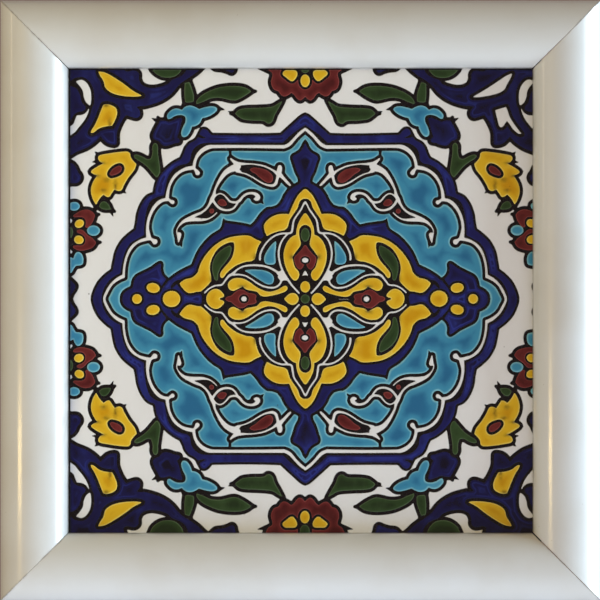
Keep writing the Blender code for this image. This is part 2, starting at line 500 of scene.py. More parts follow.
@dataclass(frozen=True)
class Lacquer:
    """The white gloss of the moulding, brushed along its length."""

    white: Colour = paint(217, 218, 218)
    dull: Colour = paint(206, 203, 197)
    grime_and_lip_shade: Colour = paint(120, 112, 104)
    lip_dust_shade_width: float = 0.4 * MM
    seam_width: float = 0.8 * MM
    seam_core: float = 0.2 * MM
    worn_depth: float = 1.2 * MM
    cloud_scale: float = 34
    speck_scale: float = 150
    speck_radius: float = 0.03
    brush_scale: float = 2200
    brush_stretch: float = 0.02
    peel_scale: float = 420
    dull_patches: Span = (0.4, 0.75)
    dull_share: float = 0.6
    lip_dust_shade_scale: float = 260
    least_lip_dust_shade: float = 0.45
    lip_dust_shade_spread: float = 0.4
    seam_scale: float = 400
    seam_share: float = 0.35
    speck_share: float = 0.45
    worn_scale: float = 300
    worn_patches: Span = (0.4, 0.7)
    worn_share: float = 0.4
    roughness: tuple[float, ...] = (0.3, 0.1, 220, 3)
    coat: float = 0.5
    coat_roughness: float = 0.12
    brush_depth: float = 0.5
    relief: Span = (0.03 * MM, 0.5)

    def material(self, sight_half: float) -> bpy.types.Material:
        """Mix the lacquer.

        Args:
            sight_half: Half the opening, where dust and painted shade gather against the tile.

        Returns:
            The lacquer's material.
        """
        recipe = Recipe("white_lacquer")
        x, z = recipe.axis("X"), recipe.axis("Z")
        far = x.size().larger(z.size())
        dulled = recipe.noise(self.cloud_scale, 4).between(*self.dull_patches)
        colour = recipe.mix(dulled * self.dull_share, self.white, self.dull)
        # A darker band on the lip against the tile: dust, and painted shade where the lip meets the tile
        at_lip = far.between(sight_half + self.lip_dust_shade_width, sight_half)
        lip_dust_shade = self.least_lip_dust_shade + self.lip_dust_shade_spread * recipe.noise(self.lip_dust_shade_scale, 3)
        colour = recipe.mix(at_lip * lip_dust_shade, colour, self.grime_and_lip_shade)
        from_mitre = (x.size() - z.size()).size()
        seam = from_mitre.between(self.seam_width, self.seam_core)
        patchy = recipe.noise(self.seam_scale, 3).between(*PATCHES)
        colour = recipe.mix(seam * patchy * self.seam_share, colour, self.grime_and_lip_shade)
        specks = recipe.specks(self.speck_scale, self.speck_radius)
        colour = recipe.mix(specks * self.speck_share, colour, self.grime_and_lip_shade)
        from_back = recipe.axis("Y") * -1
        patchy = recipe.noise(self.worn_scale, 3).between(*self.worn_patches)
        worn = from_back.between(self.worn_depth, 0.0) * patchy
        colour = recipe.mix(worn * self.worn_share, colour, self.dull)
        rough = recipe.rough(*self.roughness)
        brushed = recipe.vector(far, (x + z) * self.brush_stretch)
        strokes = self.brush_depth * recipe.noise(self.brush_scale, 2, place=brushed)
        peel = recipe.noise(self.peel_scale, 2) + strokes
        return recipe.finish(
            Base_Color=colour, Roughness=rough, Coat_Weight=self.coat,
            Coat_Roughness=self.coat_roughness, Normal=recipe.bump(peel, *self.relief),
        )


@dataclass(frozen=True)
class Hardboard:
    """Pressed fibre board, its back marked by the mesh that it was pressed on."""

    fibre: Colour = paint(122, 84, 56)
    dark: Colour = paint(84, 54, 34)
    pale: Colour = paint(146, 106, 74)
    mesh_pitch: float = 1.6 * MM
    fibre_scale: float = 1400
    fibre_stretch: Place = (1.0, 1.0, 0.35)
    fibre_turn: float = 0.4
    cloud_scale: float = 46
    pale_patches: Span = (0.45, 0.75)
    pale_share: float = 0.4
    shaded_hollows: Span = (0.6, 0.1)
    hollow_shade_share: float = 0.35
    roughness: tuple[float, ...] = (0.7, 0.2, 500)
    weave_depth: float = 0.8
    fibre_depth: float = 0.3
    relief: Span = (0.15 * MM, 0.7)

    def material(self) -> bpy.types.Material:
        """Mix the board's finish.

        Returns:
            The board's material.
        """
        recipe = Recipe("hardboard")
        fine = recipe.noise(self.fibre_scale, 5, self.fibre_stretch, self.fibre_turn)
        coarse = recipe.noise(self.cloud_scale, 4)
        colour = recipe.mix(fine.between(*PATCHES), self.dark, self.fibre)
        colour = recipe.mix(coarse.between(*self.pale_patches) * self.pale_share, colour, self.pale)
        turns = 2 * math.pi / self.mesh_pitch
        across, up = (recipe.axis("X") * turns).sine(), (recipe.axis("Z") * turns).sine()
        weave = across * up * 0.5 + 0.5
        # The weave's hollows darkened: painted shade in the recesses
        colour = recipe.mix(weave.between(*self.shaded_hollows) * self.hollow_shade_share, colour, self.dark)
        rough = recipe.rough(*self.roughness)
        normal = recipe.bump(weave * self.weave_depth + fine * self.fibre_depth, *self.relief)
        return recipe.finish(Base_Color=colour, Roughness=rough, Normal=normal)


@dataclass(frozen=True)
class ZincPlate:
    """Zinc-plated pressed steel, faintly spangled, with duller patches and small stains."""

    bright: Colour = (0.66, 0.66, 0.65)
    dull: Colour = (0.42, 0.43, 0.44)
    stain: Colour = paint(120, 104, 84)
    spangle_scale: float = 700
    rolled_scale: float = 900
    rolled_stretch: Place = (0.12, 1.0, 1.0)
    stain_scale: float = 900
    stain_radius: float = 0.12
    stain_share: float = 0.4
    roughness: float = 0.24
    rough_spread: float = 0.22
    spangle_depth: float = 0.5
    relief: Span = (0.03 * MM, 0.5)

    def material(self) -> bpy.types.Material:
        """Mix the plate's finish.

        Returns:
            The plate's material.
        """
        recipe = Recipe("zinc_plated_steel")
        spangle = recipe.noise(self.spangle_scale, 4)
        rolled = recipe.noise(self.rolled_scale, 3, self.rolled_stretch)
        colour = recipe.mix(spangle.between(*PATCHES), self.bright, self.dull)
        specks = recipe.specks(self.stain_scale, self.stain_radius)
        colour = recipe.mix(specks * self.stain_share, colour, self.stain)
        rough = self.roughness + self.rough_spread * rolled
        normal = recipe.bump(rolled + spangle * self.spangle_depth, *self.relief)
        return recipe.finish(Base_Color=colour, Metallic=1.0, Roughness=rough, Normal=normal)


# Meshes


def new_object(name: str, data: bpy.types.ID) -> bpy.types.Object:
    """Link a new object to the scene.

    Args:
        name: The object's name.
        data: Its mesh, light or camera.

    Returns:
        The object.
    """
    made = bpy.data.objects.new(name, data)
    bpy.context.scene.collection.objects.link(made)
    return made


def settle(draft: bpy.types.Object, name: str) -> bpy.types.Object:
    """Turn an object with modifiers into a plain mesh object of its own.

    Args:
        draft: The object, which is removed.
        name: The new object's name.

    Returns:
        The new object.
    """
    graph = bpy.context.evaluated_depsgraph_get()
    mesh = bpy.data.meshes.new_from_object(draft.evaluated_get(graph))
    mesh.name = name
    mesh.transform(draft.matrix_world)
    old = draft.data
    bpy.data.objects.remove(draft)
    bpy.data.meshes.remove(old)
    return new_object(name, mesh)


def soften(piece: bpy.types.Object) -> None:
    """Shade smooth, with edges over the sharp angle left sharp and broad faces flat up to their arrises.

    Args:
        piece: The object.
    """
    piece.data.shade_smooth()
    piece.data.set_sharp_from_angle(angle=SHARP_ANGLE)
    modifier = piece.modifiers.new("weigh", "WEIGHTED_NORMAL")
    modifier.weight = BROAD_FACES
    modifier.keep_sharp = True
    graph = bpy.context.evaluated_depsgraph_get()
    weighed = bpy.data.meshes.new_from_object(
        piece.evaluated_get(graph), preserve_all_data_layers=True, depsgraph=graph
    )
    piece.modifiers.remove(modifier)
    plain, piece.data = piece.data, weighed
    name = plain.name
    bpy.data.meshes.remove(plain)
    weighed.name = name


def arris(piece: bpy.types.Object, width: float, segments: int = 2) -> None:
    """Round a piece's edges with a live Bevel.

    Args:
        piece: The piece.
        width: The bevel's width.
        segments: Its segments.
    """
    modifier = piece.modifiers.new("arris", "BEVEL")
    modifier.width = width
    modifier.segments = segments
    modifier.limit_method = "ANGLE"
    modifier.angle_limit = SHARP_ANGLE


def block(low: Vector, high: Vector) -> bmesh.types.BMesh:
    """A bmesh box between two corners.

    Args:
        low: The lowest corner.
        high: The highest corner.

    Returns:
        The box.
    """
    bm = bmesh.new()
    bmesh.ops.create_cube(bm, size=1.0)
    bmesh.ops.scale(bm, vec=high - low, verts=bm.verts)
    bmesh.ops.translate(bm, vec=(high + low) / 2, verts=bm.verts)
    return bm


def object_of(bm: bmesh.types.BMesh, name: str) -> bpy.types.Object:
    """An object from a bmesh, which is freed.

    Args:
        bm: The bmesh.
        name: The object's name, and its mesh's.

    Returns:
        The object.
    """
    mesh = bpy.data.meshes.new(name)
    bm.to_mesh(mesh)
    bm.free()
    return new_object(name, mesh)


def keep_values(mesh: bpy.types.Mesh, name: str, values: np.ndarray) -> None:
    """Give each point of a mesh a number, as an attribute."""
    mesh.attributes.new(name, "FLOAT", "POINT").data.foreach_set("value", values.astype(np.float32))


def middle_of(node: str) -> Vector:
    """The middle of a CAD part's box."""
    low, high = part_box(node)
    return (low + high) / 2


class NodeShop:
    """A Geometry Nodes tree with named inputs."""

    def __init__(self, name: str, inputs: dict[str, str]) -> None:
        """Start a tree.

        Args:
            name: The tree's name.
            inputs: The socket type of each input, by the input's name.
        """
        self.tree = bpy.data.node_groups.new(name, "GeometryNodeTree")
        self.ids = {}
        for label, kind in inputs.items():
            socket = self.tree.interface.new_socket(label, in_out="INPUT", socket_type=kind)
            self.ids[label] = socket.identifier
        self.tree.interface.new_socket("Geometry", in_out="OUTPUT", socket_type="NodeSocketGeometry")
        self.inputs = self.tree.nodes.new("NodeGroupInput").outputs
        self.result = self.tree.nodes.new("NodeGroupOutput").inputs[0]

    def add(self, kind: str, settings: dict, sockets: dict) -> bpy.types.NodeOutputs:
        """Add any node.

        Args:
            kind: The node's type.
            settings: Its properties.
            sockets: Values or links of its inputs, by name or by number.

        Returns:
            The node's outputs.
        """
        made = self.tree.nodes.new(kind)
        for name, value in settings.items():
            setattr(made, name, value)
        for name, value in sockets.items():
            if isinstance(value, Link):
                self.tree.links.new(value, made.inputs[name])
            else:
                made.inputs[name].default_value = value
        return made.outputs

    def number(self, operation: str, *values: object) -> Link:
        """The result of one Math node."""
        return self.add("ShaderNodeMath", {"operation": operation}, dict(enumerate(values)))[0]

    def vector(self, **parts: object) -> Link:
        """A vector from its parts X, Y and Z, each 0 unless it is given."""
        return self.add("ShaderNodeCombineXYZ", {}, parts)[0]

    def transformed(self, geometry: Link, **how: object) -> Link:
        """Geometry with a Rotation or a Scale."""
        return self.add("GeometryNodeTransform", {}, {"Geometry": geometry, **how})[0]

    def joined(self, *parts: Link) -> Link:
        """Several geometries as one.

        Args:
            parts: The geometries.

        Returns:
            The whole.
        """
        whole = self.add("GeometryNodeJoinGeometry", {}, {})[0]
        for part in parts:
            self.tree.links.new(part, whole.node.inputs[0])
        return whole

    def row(self, count: object, start: object, offset: object, item: object) -> Link:
        """Copies of an item in a row.

        Args:
            count: How many.
            start: The first one's place.
            offset: The step from each to the next.
            item: The item's geometry.

        Returns:
            The instances.
        """
        sockets = {"Count": count, "Start Location": start, "Offset": offset}
        points = self.add("GeometryNodeMeshLine", {}, sockets)[0]
        return self.add("GeometryNodeInstanceOnPoints", {}, {"Points": points, "Instance": item})[0]

    def close(self, geometry: Link) -> None:
        """End the tree with Realize Instances and Set Material.

        Args:
            geometry: What it made.
        """
        real = self.add("GeometryNodeRealizeInstances", {}, {0: geometry})[0]
        material = self.inputs["Material"]
        dressed = self.add("GeometryNodeSetMaterial", {}, {"Geometry": real, "Material": material})[0]
        self.tree.links.new(dressed, self.result)

    def run(self, draft: bpy.types.Object, values: dict[str, object]) -> None:
        """Put the tree on an object.

        Args:
            draft: The object.
            values: The inputs' values, by name.
        """
        modifier = draft.modifiers.new(self.tree.name, "NODES")
        modifier.node_group = self.tree
        for label, value in values.items():
            modifier[self.ids[label]] = value


# Drawing of the tile

# A length in mm that is too short to see: points so near are one, and it keeps a division from zero
TINY = 1e-6
# The last place within a grid's last cell stands this many steps before the grid's size
LAST_PLACE = 1.001


class Across(Enum):
    """The axes that an outline is mirrored over."""

    NONE = ""
    X = "x"
    Z = "z"
    BOTH = "zx"


def read_outline(text: str) -> tuple[np.ndarray, np.ndarray]:
    """Read an outline.

    Args:
        text: Its points as x,z or x,z,radius, with ! after a sharp corner.

    Returns:
        The points, and which of them are corners.
    """
    words = text.split()
    points = np.array([[float(n) for n in word.rstrip("!").split(",")] for word in words])
    return points, np.array([word.endswith("!") for word in words])


def mirrored(points: np.ndarray, corners: np.ndarray, across: Across) -> tuple[np.ndarray, np.ndarray]:
    """Close an outline by its own reflections.

    Args:
        points: The outline's part.
        corners: Which points are corners.
        across: The axes.

    Returns:
        The whole outline's points and corners.
    """
    for letter in across.value:
        other = points[::-1].copy()
        other[:, "xz".index(letter)] *= -1
        points = np.concatenate([points, other])
        corners = np.concatenate([corners, corners[::-1]])
    return points, corners


def curve_through(points: np.ndarray, corners: np.ndarray, closed: bool, step: float = 0.3) -> np.ndarray:
    """A smooth curve through points, which turns sharply at corners alone.

    Args:
        points: The points.
        corners: Which of them are corners.
        closed: Whether the curve closes.
        step: Longest step along it.

    Returns:
        The curve's points.
    """
    following = np.roll(points, -1, 0)
    apart = np.hypot(*(following - points)[:, :2].T) > TINY
    if not closed:
        apart[-1] = True
    corners = corners | (np.roll(corners, 1) & ~np.roll(apart, 1))
    points, corners = points[apart], corners[apart]
    count = len(points)
    spans = count if closed else count - 1
    pieces = []
    for i in range(spans):
        first, second = points[i], points[(i + 1) % count]
        before = points[i - 1] if closed or i else first
        after = points[(i + 2) % count] if closed or i + 2 < count else second
        length = np.hypot(*(second - first)[:2])
        start = (second - before) / np.hypot(*(second - before)[:2]) * length
        end = (after - first) / np.hypot(*(after - first)[:2]) * length
        # Beside a corner or an end the curve runs out straight
        if corners[i] or (not closed and i == 0):
            start = 1.5 * (second - first) - 0.5 * end
        if corners[(i + 1) % count] or (not closed and i == spans - 1):
            end = 1.5 * (second - first) - 0.5 * start
        t = np.linspace(0, 1, max(2, math.ceil(length / step)), endpoint=False)[:, None]
        pieces.append(
            (2 * t**3 - 3 * t**2 + 1) * first + (t**3 - 2 * t**2 + t) * start
            + (3 * t**2 - 2 * t**3) * second + (t**3 - t**2) * end
        )
    if not closed:
        pieces.append(points[-1:])
    return np.concatenate(pieces)


def join(*areas: Area) -> Area:
    """The union of areas."""
    return np.minimum.reduce(areas)


def cut(area: Area, *holes: Area) -> Area:
    """An area without the holes."""
    return np.maximum.reduce([area, *(-hole for hole in holes)])


def within(path: np.ndarray, x: np.ndarray, z: np.ndarray) -> np.ndarray:
    """Which points of a grid lie inside a closed path.

    Args:
        path: The path's points.
        x: Places of the grid's columns.
        z: Places of its rows.

    Returns:
        True for each point inside.
    """
    following = np.roll(path, -1, 0)
    inside = np.zeros((len(z), len(x)), bool)
    for row, level in enumerate(z):
        hit = (path[:, 1] > level) != (following[:, 1] > level)
        if hit.any():
            a, b = path[hit], following[hit]
            crossings = a[:, 0] + (level - a[:, 1]) / (b[:, 1] - a[:, 1]) * (b[:, 0] - a[:, 0])
            inside[row] = np.searchsorted(np.sort(crossings), x) % 2 == 1
    return inside


@dataclass
class Sheet:
    """A quarter of the drawing as grids, each with its distance in mm to an area's rim, negative inside."""

    left: float = -78.0
    top: float = 78.0
    overlap: float = 2.0
    step: float = 0.15
    reach: float = 4.0
    # The bluntest and the finest corner with a tip, as the cosine of half its angle
    blunt_corner: float = 0.45
    fine_corner: float = 0.999
    # A tip's length and its end's radius, as shares of the line's width
    tip_length: float = 1.25
    tip_end: float = 0.5
    x: np.ndarray = field(init=False)
    z: np.ndarray = field(init=False)

    def __post_init__(self) -> None:
        """Lay out the grid."""
        self.x = np.arange(self.left, self.overlap + self.step / 2, self.step)
        self.z = np.arange(-self.overlap, self.top + self.step / 2, self.step)

    def _distance(self, path: np.ndarray, closed: bool) -> Area:
        """Distance to a path, less the path's own radius.

        Args:
            path: Its points, with a radius or without.
            closed: Whether it closes.

        Returns:
            The distances, up to the reach.
        """
        out = np.full((len(self.z), len(self.x)), self.reach)
        following = np.roll(path, -1, 0) if closed else path[1:]
        for a, b in zip(path, following):
            ra, rb = (a[2], b[2]) if len(a) > 2 else (0.0, 0.0)
            pad = self.reach + max(ra, rb)
            j0, j1 = np.searchsorted(self.x, (min(a[0], b[0]) - pad, max(a[0], b[0]) + pad))
            i0, i1 = np.searchsorted(self.z, (min(a[1], b[1]) - pad, max(a[1], b[1]) + pad))
            if i0 == i1 or j0 == j1:
                continue
            x, z = self.x[None, j0:j1] - a[0], self.z[i0:i1, None] - a[1]
            d = b[:2] - a[:2]
            t = np.clip((x * d[0] + z * d[1]) / max(d @ d, 1e-12), 0, 1)
            near = np.hypot(x - t * d[0], z - t * d[1]) - (ra + t * (rb - ra))
            view = out[i0:i1, j0:j1]
            np.minimum(view, near, out=view)
        return out

    def area(self, text: str, across: Across = Across.NONE) -> Area:
        """A closed area.

        Args:
            text: Its outline, or the part that is mirrored.
            across: The axes that it is mirrored over.

        Returns:
            The area.
        """
        path = curve_through(*mirrored(*read_outline(text), across), True)
        near = self._distance(path, True)
        return np.where(within(path, self.x, self.z), -near, near)

    def areas(self, *texts: str) -> list[Area]:
        """Closed areas whose outlines are whole."""
        return [self.area(text) for text in texts]

    def tips(self, text: str, line: float) -> Area:
        """The points that the black line runs out to, past an outline's sharp corners.

        Args:
            text: The outline.
            line: The line's width.

        Returns:
            The tips.
        """
        points, corners = read_outline(text)
        apart = np.hypot(*(np.roll(points, -1, 0) - points).T) > TINY
        points, corners = points[apart], corners[apart]
        following = np.roll(points, -1, 0)
        before, after = np.roll(points, 1, 0) - points, following - points
        before /= np.hypot(*before.T)[:, None]
        after /= np.hypot(*after.T)[:, None]
        way_round = np.sign(np.sum(points[:, 0] * following[:, 1] - points[:, 1] * following[:, 0]))
        outward = way_round * (before[:, 1] * after[:, 0] - before[:, 0] * after[:, 1]) > 0
        out = np.full((len(self.z), len(self.x)), self.reach)
        for point, way in zip(points[corners & outward], -(before + after)[corners & outward]):
            half_cosine = np.hypot(*way) / 2
            if self.blunt_corner < half_cosine < self.fine_corner:
                longest = min(line / math.sqrt(1 - half_cosine**2), self.tip_length * line)
                end = point + way / np.hypot(*way) * longest
                path = np.array([[*point, line], [*end, self.tip_end * line]])
                out = join(out, self._distance(path, False))
        return out

    def stroke(self, text: str) -> Area:
        """A brush stroke whose points each have a radius."""
        return self._distance(curve_through(*read_outline(text), False), False)

    def strokes(self, texts: tuple[str, ...]) -> Area:
        """The union of brush strokes."""
        return join(*map(self.stroke, texts))

    def dot(self, x: float, z: float, wide: float, high: float = 0.0, turn: float = 0.0) -> Area:
        """An elliptic dot.

        Args:
            x: Its centre.
            z: Its centre.
            wide: Its radius along X.
            high: Its radius along Z, the same where it is 0.
            turn: Its turn, in degrees.

        Returns:
            The dot.
        """
        high = high or wide
        dx, dz = self.x[None, :] - x, self.z[:, None] - z
        cosine, sine = math.cos(math.radians(turn)), math.sin(math.radians(turn))
        u, v = dx * cosine + dz * sine, dz * cosine - dx * sine
        share = np.hypot(u / wide, v / high) + TINY
        slope = np.hypot(u / wide**2, v / high**2) + TINY
        return np.clip(share * (share - 1) / slope, -self.reach, self.reach)

    def dots(self, *places: tuple[float, ...]) -> list[Area]:
        """Elliptic dots, each from its centre, its radii and its turn."""
        return [self.dot(*place) for place in places]


MEDALLION = """0,57.9! -1.4,57.3 -4.5,54.6 -7.8,51.6! -28.8,51.6! -30.2,53.1 -31.4,53.5 -32.6,53.1
 -33.5,51.6 -34.4,50 -36.4,48.8 -37.7,47.2 -38.4,45.4 -39.1,44! -41.5,42.7 -44,40.6 -45.9,38.2 -46.9,35.8
 -47.4,33.2! -49.5,32.2 -51.3,29.8 -52.5,26.7 -52.9,24 -53.3,21.9! -55.7,20 -57.5,18.1 -59.2,15 -60,11.5
 -60.4,9.3! -62.5,7.7 -64.6,5.4 -66,2.6 -66.6,0"""
COBALT_INSIDE = """0,54.3! -4.5,51.2 -7,48.8! -29.5,48.75 -32.5,48.4 -34.6,47 -35.6,45.3 -36,43 -37,42.2!
 -38.8,41.8 -40.7,40.8 -42.2,39.2 -43,37.5 -43.6,35 -44.1,32.4! -46.6,31.7 -48.4,30.3 -49.4,28 -50,25
 -50.3,22 -50.3,20! -52.6,18.7 -54.5,17.5 -56.2,14.7 -57.2,11 -57.6,8.2! -59.8,7 -61.7,5.1 -63.1,2.4
 -63.5,0"""
WHITE_OUTSIDE = """0,53.2! -2,51.7 -5,48.6 -6.5,47.75! -28,47.8 -30.2,47.7 -32,46.8 -33.6,45.2 -34.6,43
 -34.95,41.3! -37,40.9 -39,39.9 -40.8,38.4 -42.2,36 -43,33.5 -43.4,31.3! -45.3,30.7 -47,29.1 -48.3,26.8
 -49.1,24.3 -49.4,21.5 -49.3,19.1! -51.7,18.2 -54,16.5 -55.4,14.1 -56.3,11 -56.7,7.5! -58.7,6.4 -60.7,4.4
 -62.1,2 -62.7,0"""
WHITE_INSIDE = """0,52.2! -2.4,50.1 -4.6,47.6 -6.6,46.67! -28.4,46.8 -30.5,46.2 -32.3,45 -33.6,43.2
 -34.15,40.2! -35.5,40.05 -37.3,39.7 -38.9,38.9 -40.6,37.2 -41.8,34.9 -42.25,32.5 -42.3,30.4! -44.2,30.1
 -45.7,29 -47.1,27.2 -48.1,24.8 -48.5,22.2 -48.1,20.2 -47.5,18.3! -49.5,18 -51.9,17.2 -53.7,15.5 -55,13.2
 -55.8,10 -56,6.6! -58,5.7 -59.9,4.2 -61.2,2 -62,0"""
HOOKS = (
    "-34.3,40.3,.35 -33.7,39.6,.55 -33.4,39.1,.72", "-42.4,30.9,.35 -41.7,30.3,.45 -41.2,30.05,.65",
    "-48.2,18.9,.4 -47.3,18.2,.5 -46.7,17.8,.85",
)
INNER_BAND = """.2,49.8! -.8,48.7 -1.4,47.4 -2.2,46.3 -3.3,45.6 -4.4,44.9 -4.75,43.6 -4.2,41.8 -3.4,39.3
 -2.5,37.5 -2.3,36.4! -3.8,35.6 -5.6,34.3! -6.9,32.4 -7.7,30.7 -8.9,29.2! -10.5,28.7 -12,28.5 -14,26.8
 -15.5,24.7 -17,23.1! -19,23.6 -22.3,24.1 -24.6,24.5 -25.5,25.2! -26,22.9! -26.6,21.8 -29.3,20 -31.8,17.5
 -33.7,14.8 -35.4,10.8! -38.9,9.05 -41,7.7 -42.3,6.6! -43.6,7.9 -44,9.4 -43.9,10.8 -44.3,11.6 -45.1,11.9
 -46.2,11.4 -48.2,10 -51.2,8.5 -52.8,7.6 -53.8,6.2 -54.3,4! -56.2,3 -57.3,1.6 -57.6,0"""
# The edge that the yellow arch and the whole of the cross share
ARCH_EDGE = """0,34.1 -1.1,33.4 -2.4,31.9 -3.7,29.4 -5,26.3! -6.5,26.4 -8.6,26.2 -10.8,25.2 -12.6,23.3
 -12.7,21.6"""
HEART_OF_IT = ARCH_EDGE + """ -12,19.5! -13.6,17.8! -15.5,18.6 -17.4,19.6 -20.4,19.6 -24.1,18.9 -27.6,17
 -30.4,14.25 -32.3,11.3 -33.4,8.2! -35,6.7 -37.4,6 -39.1,4.8! -38.2,3.5 -36.9,2.1 -35.8,1.8 -33.7,2.2
 -32.3,2.4! -31.6,1.6 -31.3,0"""
ARCH = ARCH_EDGE + """ -11.9,19.5! -10.1,20.4 -8.3,21 -6.4,21.4 -5.5,22.2 -5.1,23.5 -4.7,24.7 -3.4,26.7
 -2.3,28.4 -1.7,30.2 -.8,31 0,31.1"""
LOBE = """-39,4.8! -37.4,6 -35,6.7 -33.3,8.3! -32.3,11.3 -30.4,14.25 -27.6,17 -24.1,18.9 -20.4,19.6
 -17.4,19.6 -15.5,18.6 -13.6,17.8! -14.6,16.2 -15.2,14.3 -15.5,12.5! -16.7,11.75 -18.5,11.5 -21.7,10.2
 -24.3,8.1 -25.6,6.5 -26.3,6.8 -26.3,8.1 -25,9.9 -23.4,11.75 -22.3,14 -22,16.8 -22.4,17.6 -24.5,17.2
 -27.2,15.4 -29,12.4 -29.6,9.6 -29.2,6.9 -29.1,5.6! -30.5,4 -32.4,2.3! -33.7,2.2 -35.8,1.8 -36.9,2.2
 -38.2,3.5"""
LOBE_LEAF = """-23.4,16.6! -25.3,15.7 -27.4,13.9 -28.6,11.7 -28.9,9.2 -28.3,6.5 -27.8,5.7 -27.1,5.9
 -27,7.6 -26.2,9.6 -24.6,11.6 -23.2,13.9 -22.9,16"""
PETAL = """0,26.6 -.9,25.7 -1.9,24 -2.6,22 -2.8,19.9! -4,19.4 -5.5,17.8 -6.5,15.2 -6.7,13 -6.2,10.3
 -4.9,7.4 -3.7,5.9 -3,5.7 -2.2,6.3 -1.8,7.6 -2.2,8.7 -3.1,9.7 -3.6,11.2 -4,13! -2.7,14.9 -1.6,16.4
 -1.4,17.3 -1.8,19.4 -1.9,20.9 -1.4,22.3 0,23"""
TOP_BUD = "0,16.7 -1,15.5 -2.1,14.2 -3.3,13 -3.4,12 -3,10.6 -2.5,9.7 -1.6,9.1 -.8,9.7 -.5,10.3 0,10.9!"
STRIP = """-24,4.3 -23.6,5.4 -22.3,6.3 -20.6,6.5 -18.9,6.15 -17.2,5.2 -14.6,3.4 -11.8,2.3 -9.9,2.4 -8.3,3
 -6.8,3.9 -5.9,4.05 -5.5,3.5 -5.8,2.6 -7.3,1.85 -9.2,1.3 -11,.9 -12.75,.75 -13.9,1.1 -15,2.2 -16.7,2.6
 -18.4,3 -19.4,3.9! -21.1,3 -22.45,2.5 -23.6,3.1"""
SIDE_BUD = """-24.8,0 -24,.75 -23,1 -22,1.9 -20.6,2.9! -19,2.7 -17.8,1.9 -16.5,1.7 -15.5,1.4 -15.1,.8
 -15.5,0!"""
SIDE_HEART = """-30.7,0 -30.4,1.3 -29.4,2.5 -28,3.1 -26.8,2.9 -25.8,2.1 -25.15,1.2 -25.4,.6 -26.4,.25
 -26.6,0!"""
TEAL_UP = """-9.05,18! -10.3,17 -11.6,15.3 -12.6,13.4 -12.7,11.7 -12.1,10.9 -10.9,10.65 -9.6,10.8
 -9.2,11.5 -9.3,13.8 -9.1,15.9"""
TEAL_SIDE = """-18.9,8.75! -17.2,9.1 -15,9.1 -12.8,8.85 -10.9,8.1 -9.8,6.9 -9.8,5.5 -10.4,4.65 -11.8,4.6
 -13.3,5.4 -15.4,6.7 -17.3,7.9"""
CHEVRON = "0,8.7 -.6,7.9 -1,7! -.4,7.35 0,7.3"
SIDE_BEAD = "-6.7,-.2! -5.3,1.3 -4,1.85 -2.7,1.4 -2,-.1 -2.7,-1.7 -4,-2.2 -5.3,-1.6"
KNOT = "-7,9.3! -7.7,8.7! -8.6,8.3 -8.9,7.9 -8.35,7.4! -8.5,6.6! -7.85,5.9 -7.3,5.4! -6.6,5.75 -5.4,5.6!"
WHITE_LINES = (
    """-1.9,1.8,.24 -4,4.1,.28 -5.6,6.3,.32 -7,8.8,.3 -7.9,11.4,.27 -8.25,14,.28 -7.9,16.4,.28 -7,18.4,.25
 -5.6,20,.25""",
    """-14.05,12.2,.32 -13.9,14,.28 -12.9,16.2,.25 -11.3,18.2,.25 -9.4,19.6,.25 -7.3,20.3,.27
 -5.4,20.35,.3 -4.25,20.7,.3 -3.95,22,.3 -3.5,24.4,.25 -2.3,26.3,.25 -1.2,27.9,.25 -.6,29.2,.25
 0,30,.35""",
    """-31.2,1.9,.22 -29.8,3.2,.22 -28,4.1,.24 -25.9,4.4,.25 -24.9,5.6,.27 -23.7,7.1,.35 -22.5,7.8,.4
 -21.1,9.1,.25 -19.3,10.05,.25 -17.4,10.4,.27 -15.3,10.45,.3 -13.2,10.25,.3 -11.4,9.8,.3 -10,9.15,.32
 -8.6,8.3,.35""",
    """-22.2,7.5,.3 -20.4,7.55,.22 -18.5,7.15,.22 -16.7,6.15,.22 -14.8,4.85,.23 -12.9,3.9,.25 -11,3.5,.26
 -9.5,3.55,.27 -8.3,4.2,.27 -7.6,5.1,.27 -7.5,5.9,.3""",
    "-13.6,-.25,.3 -10.4,-.25,.3",
)
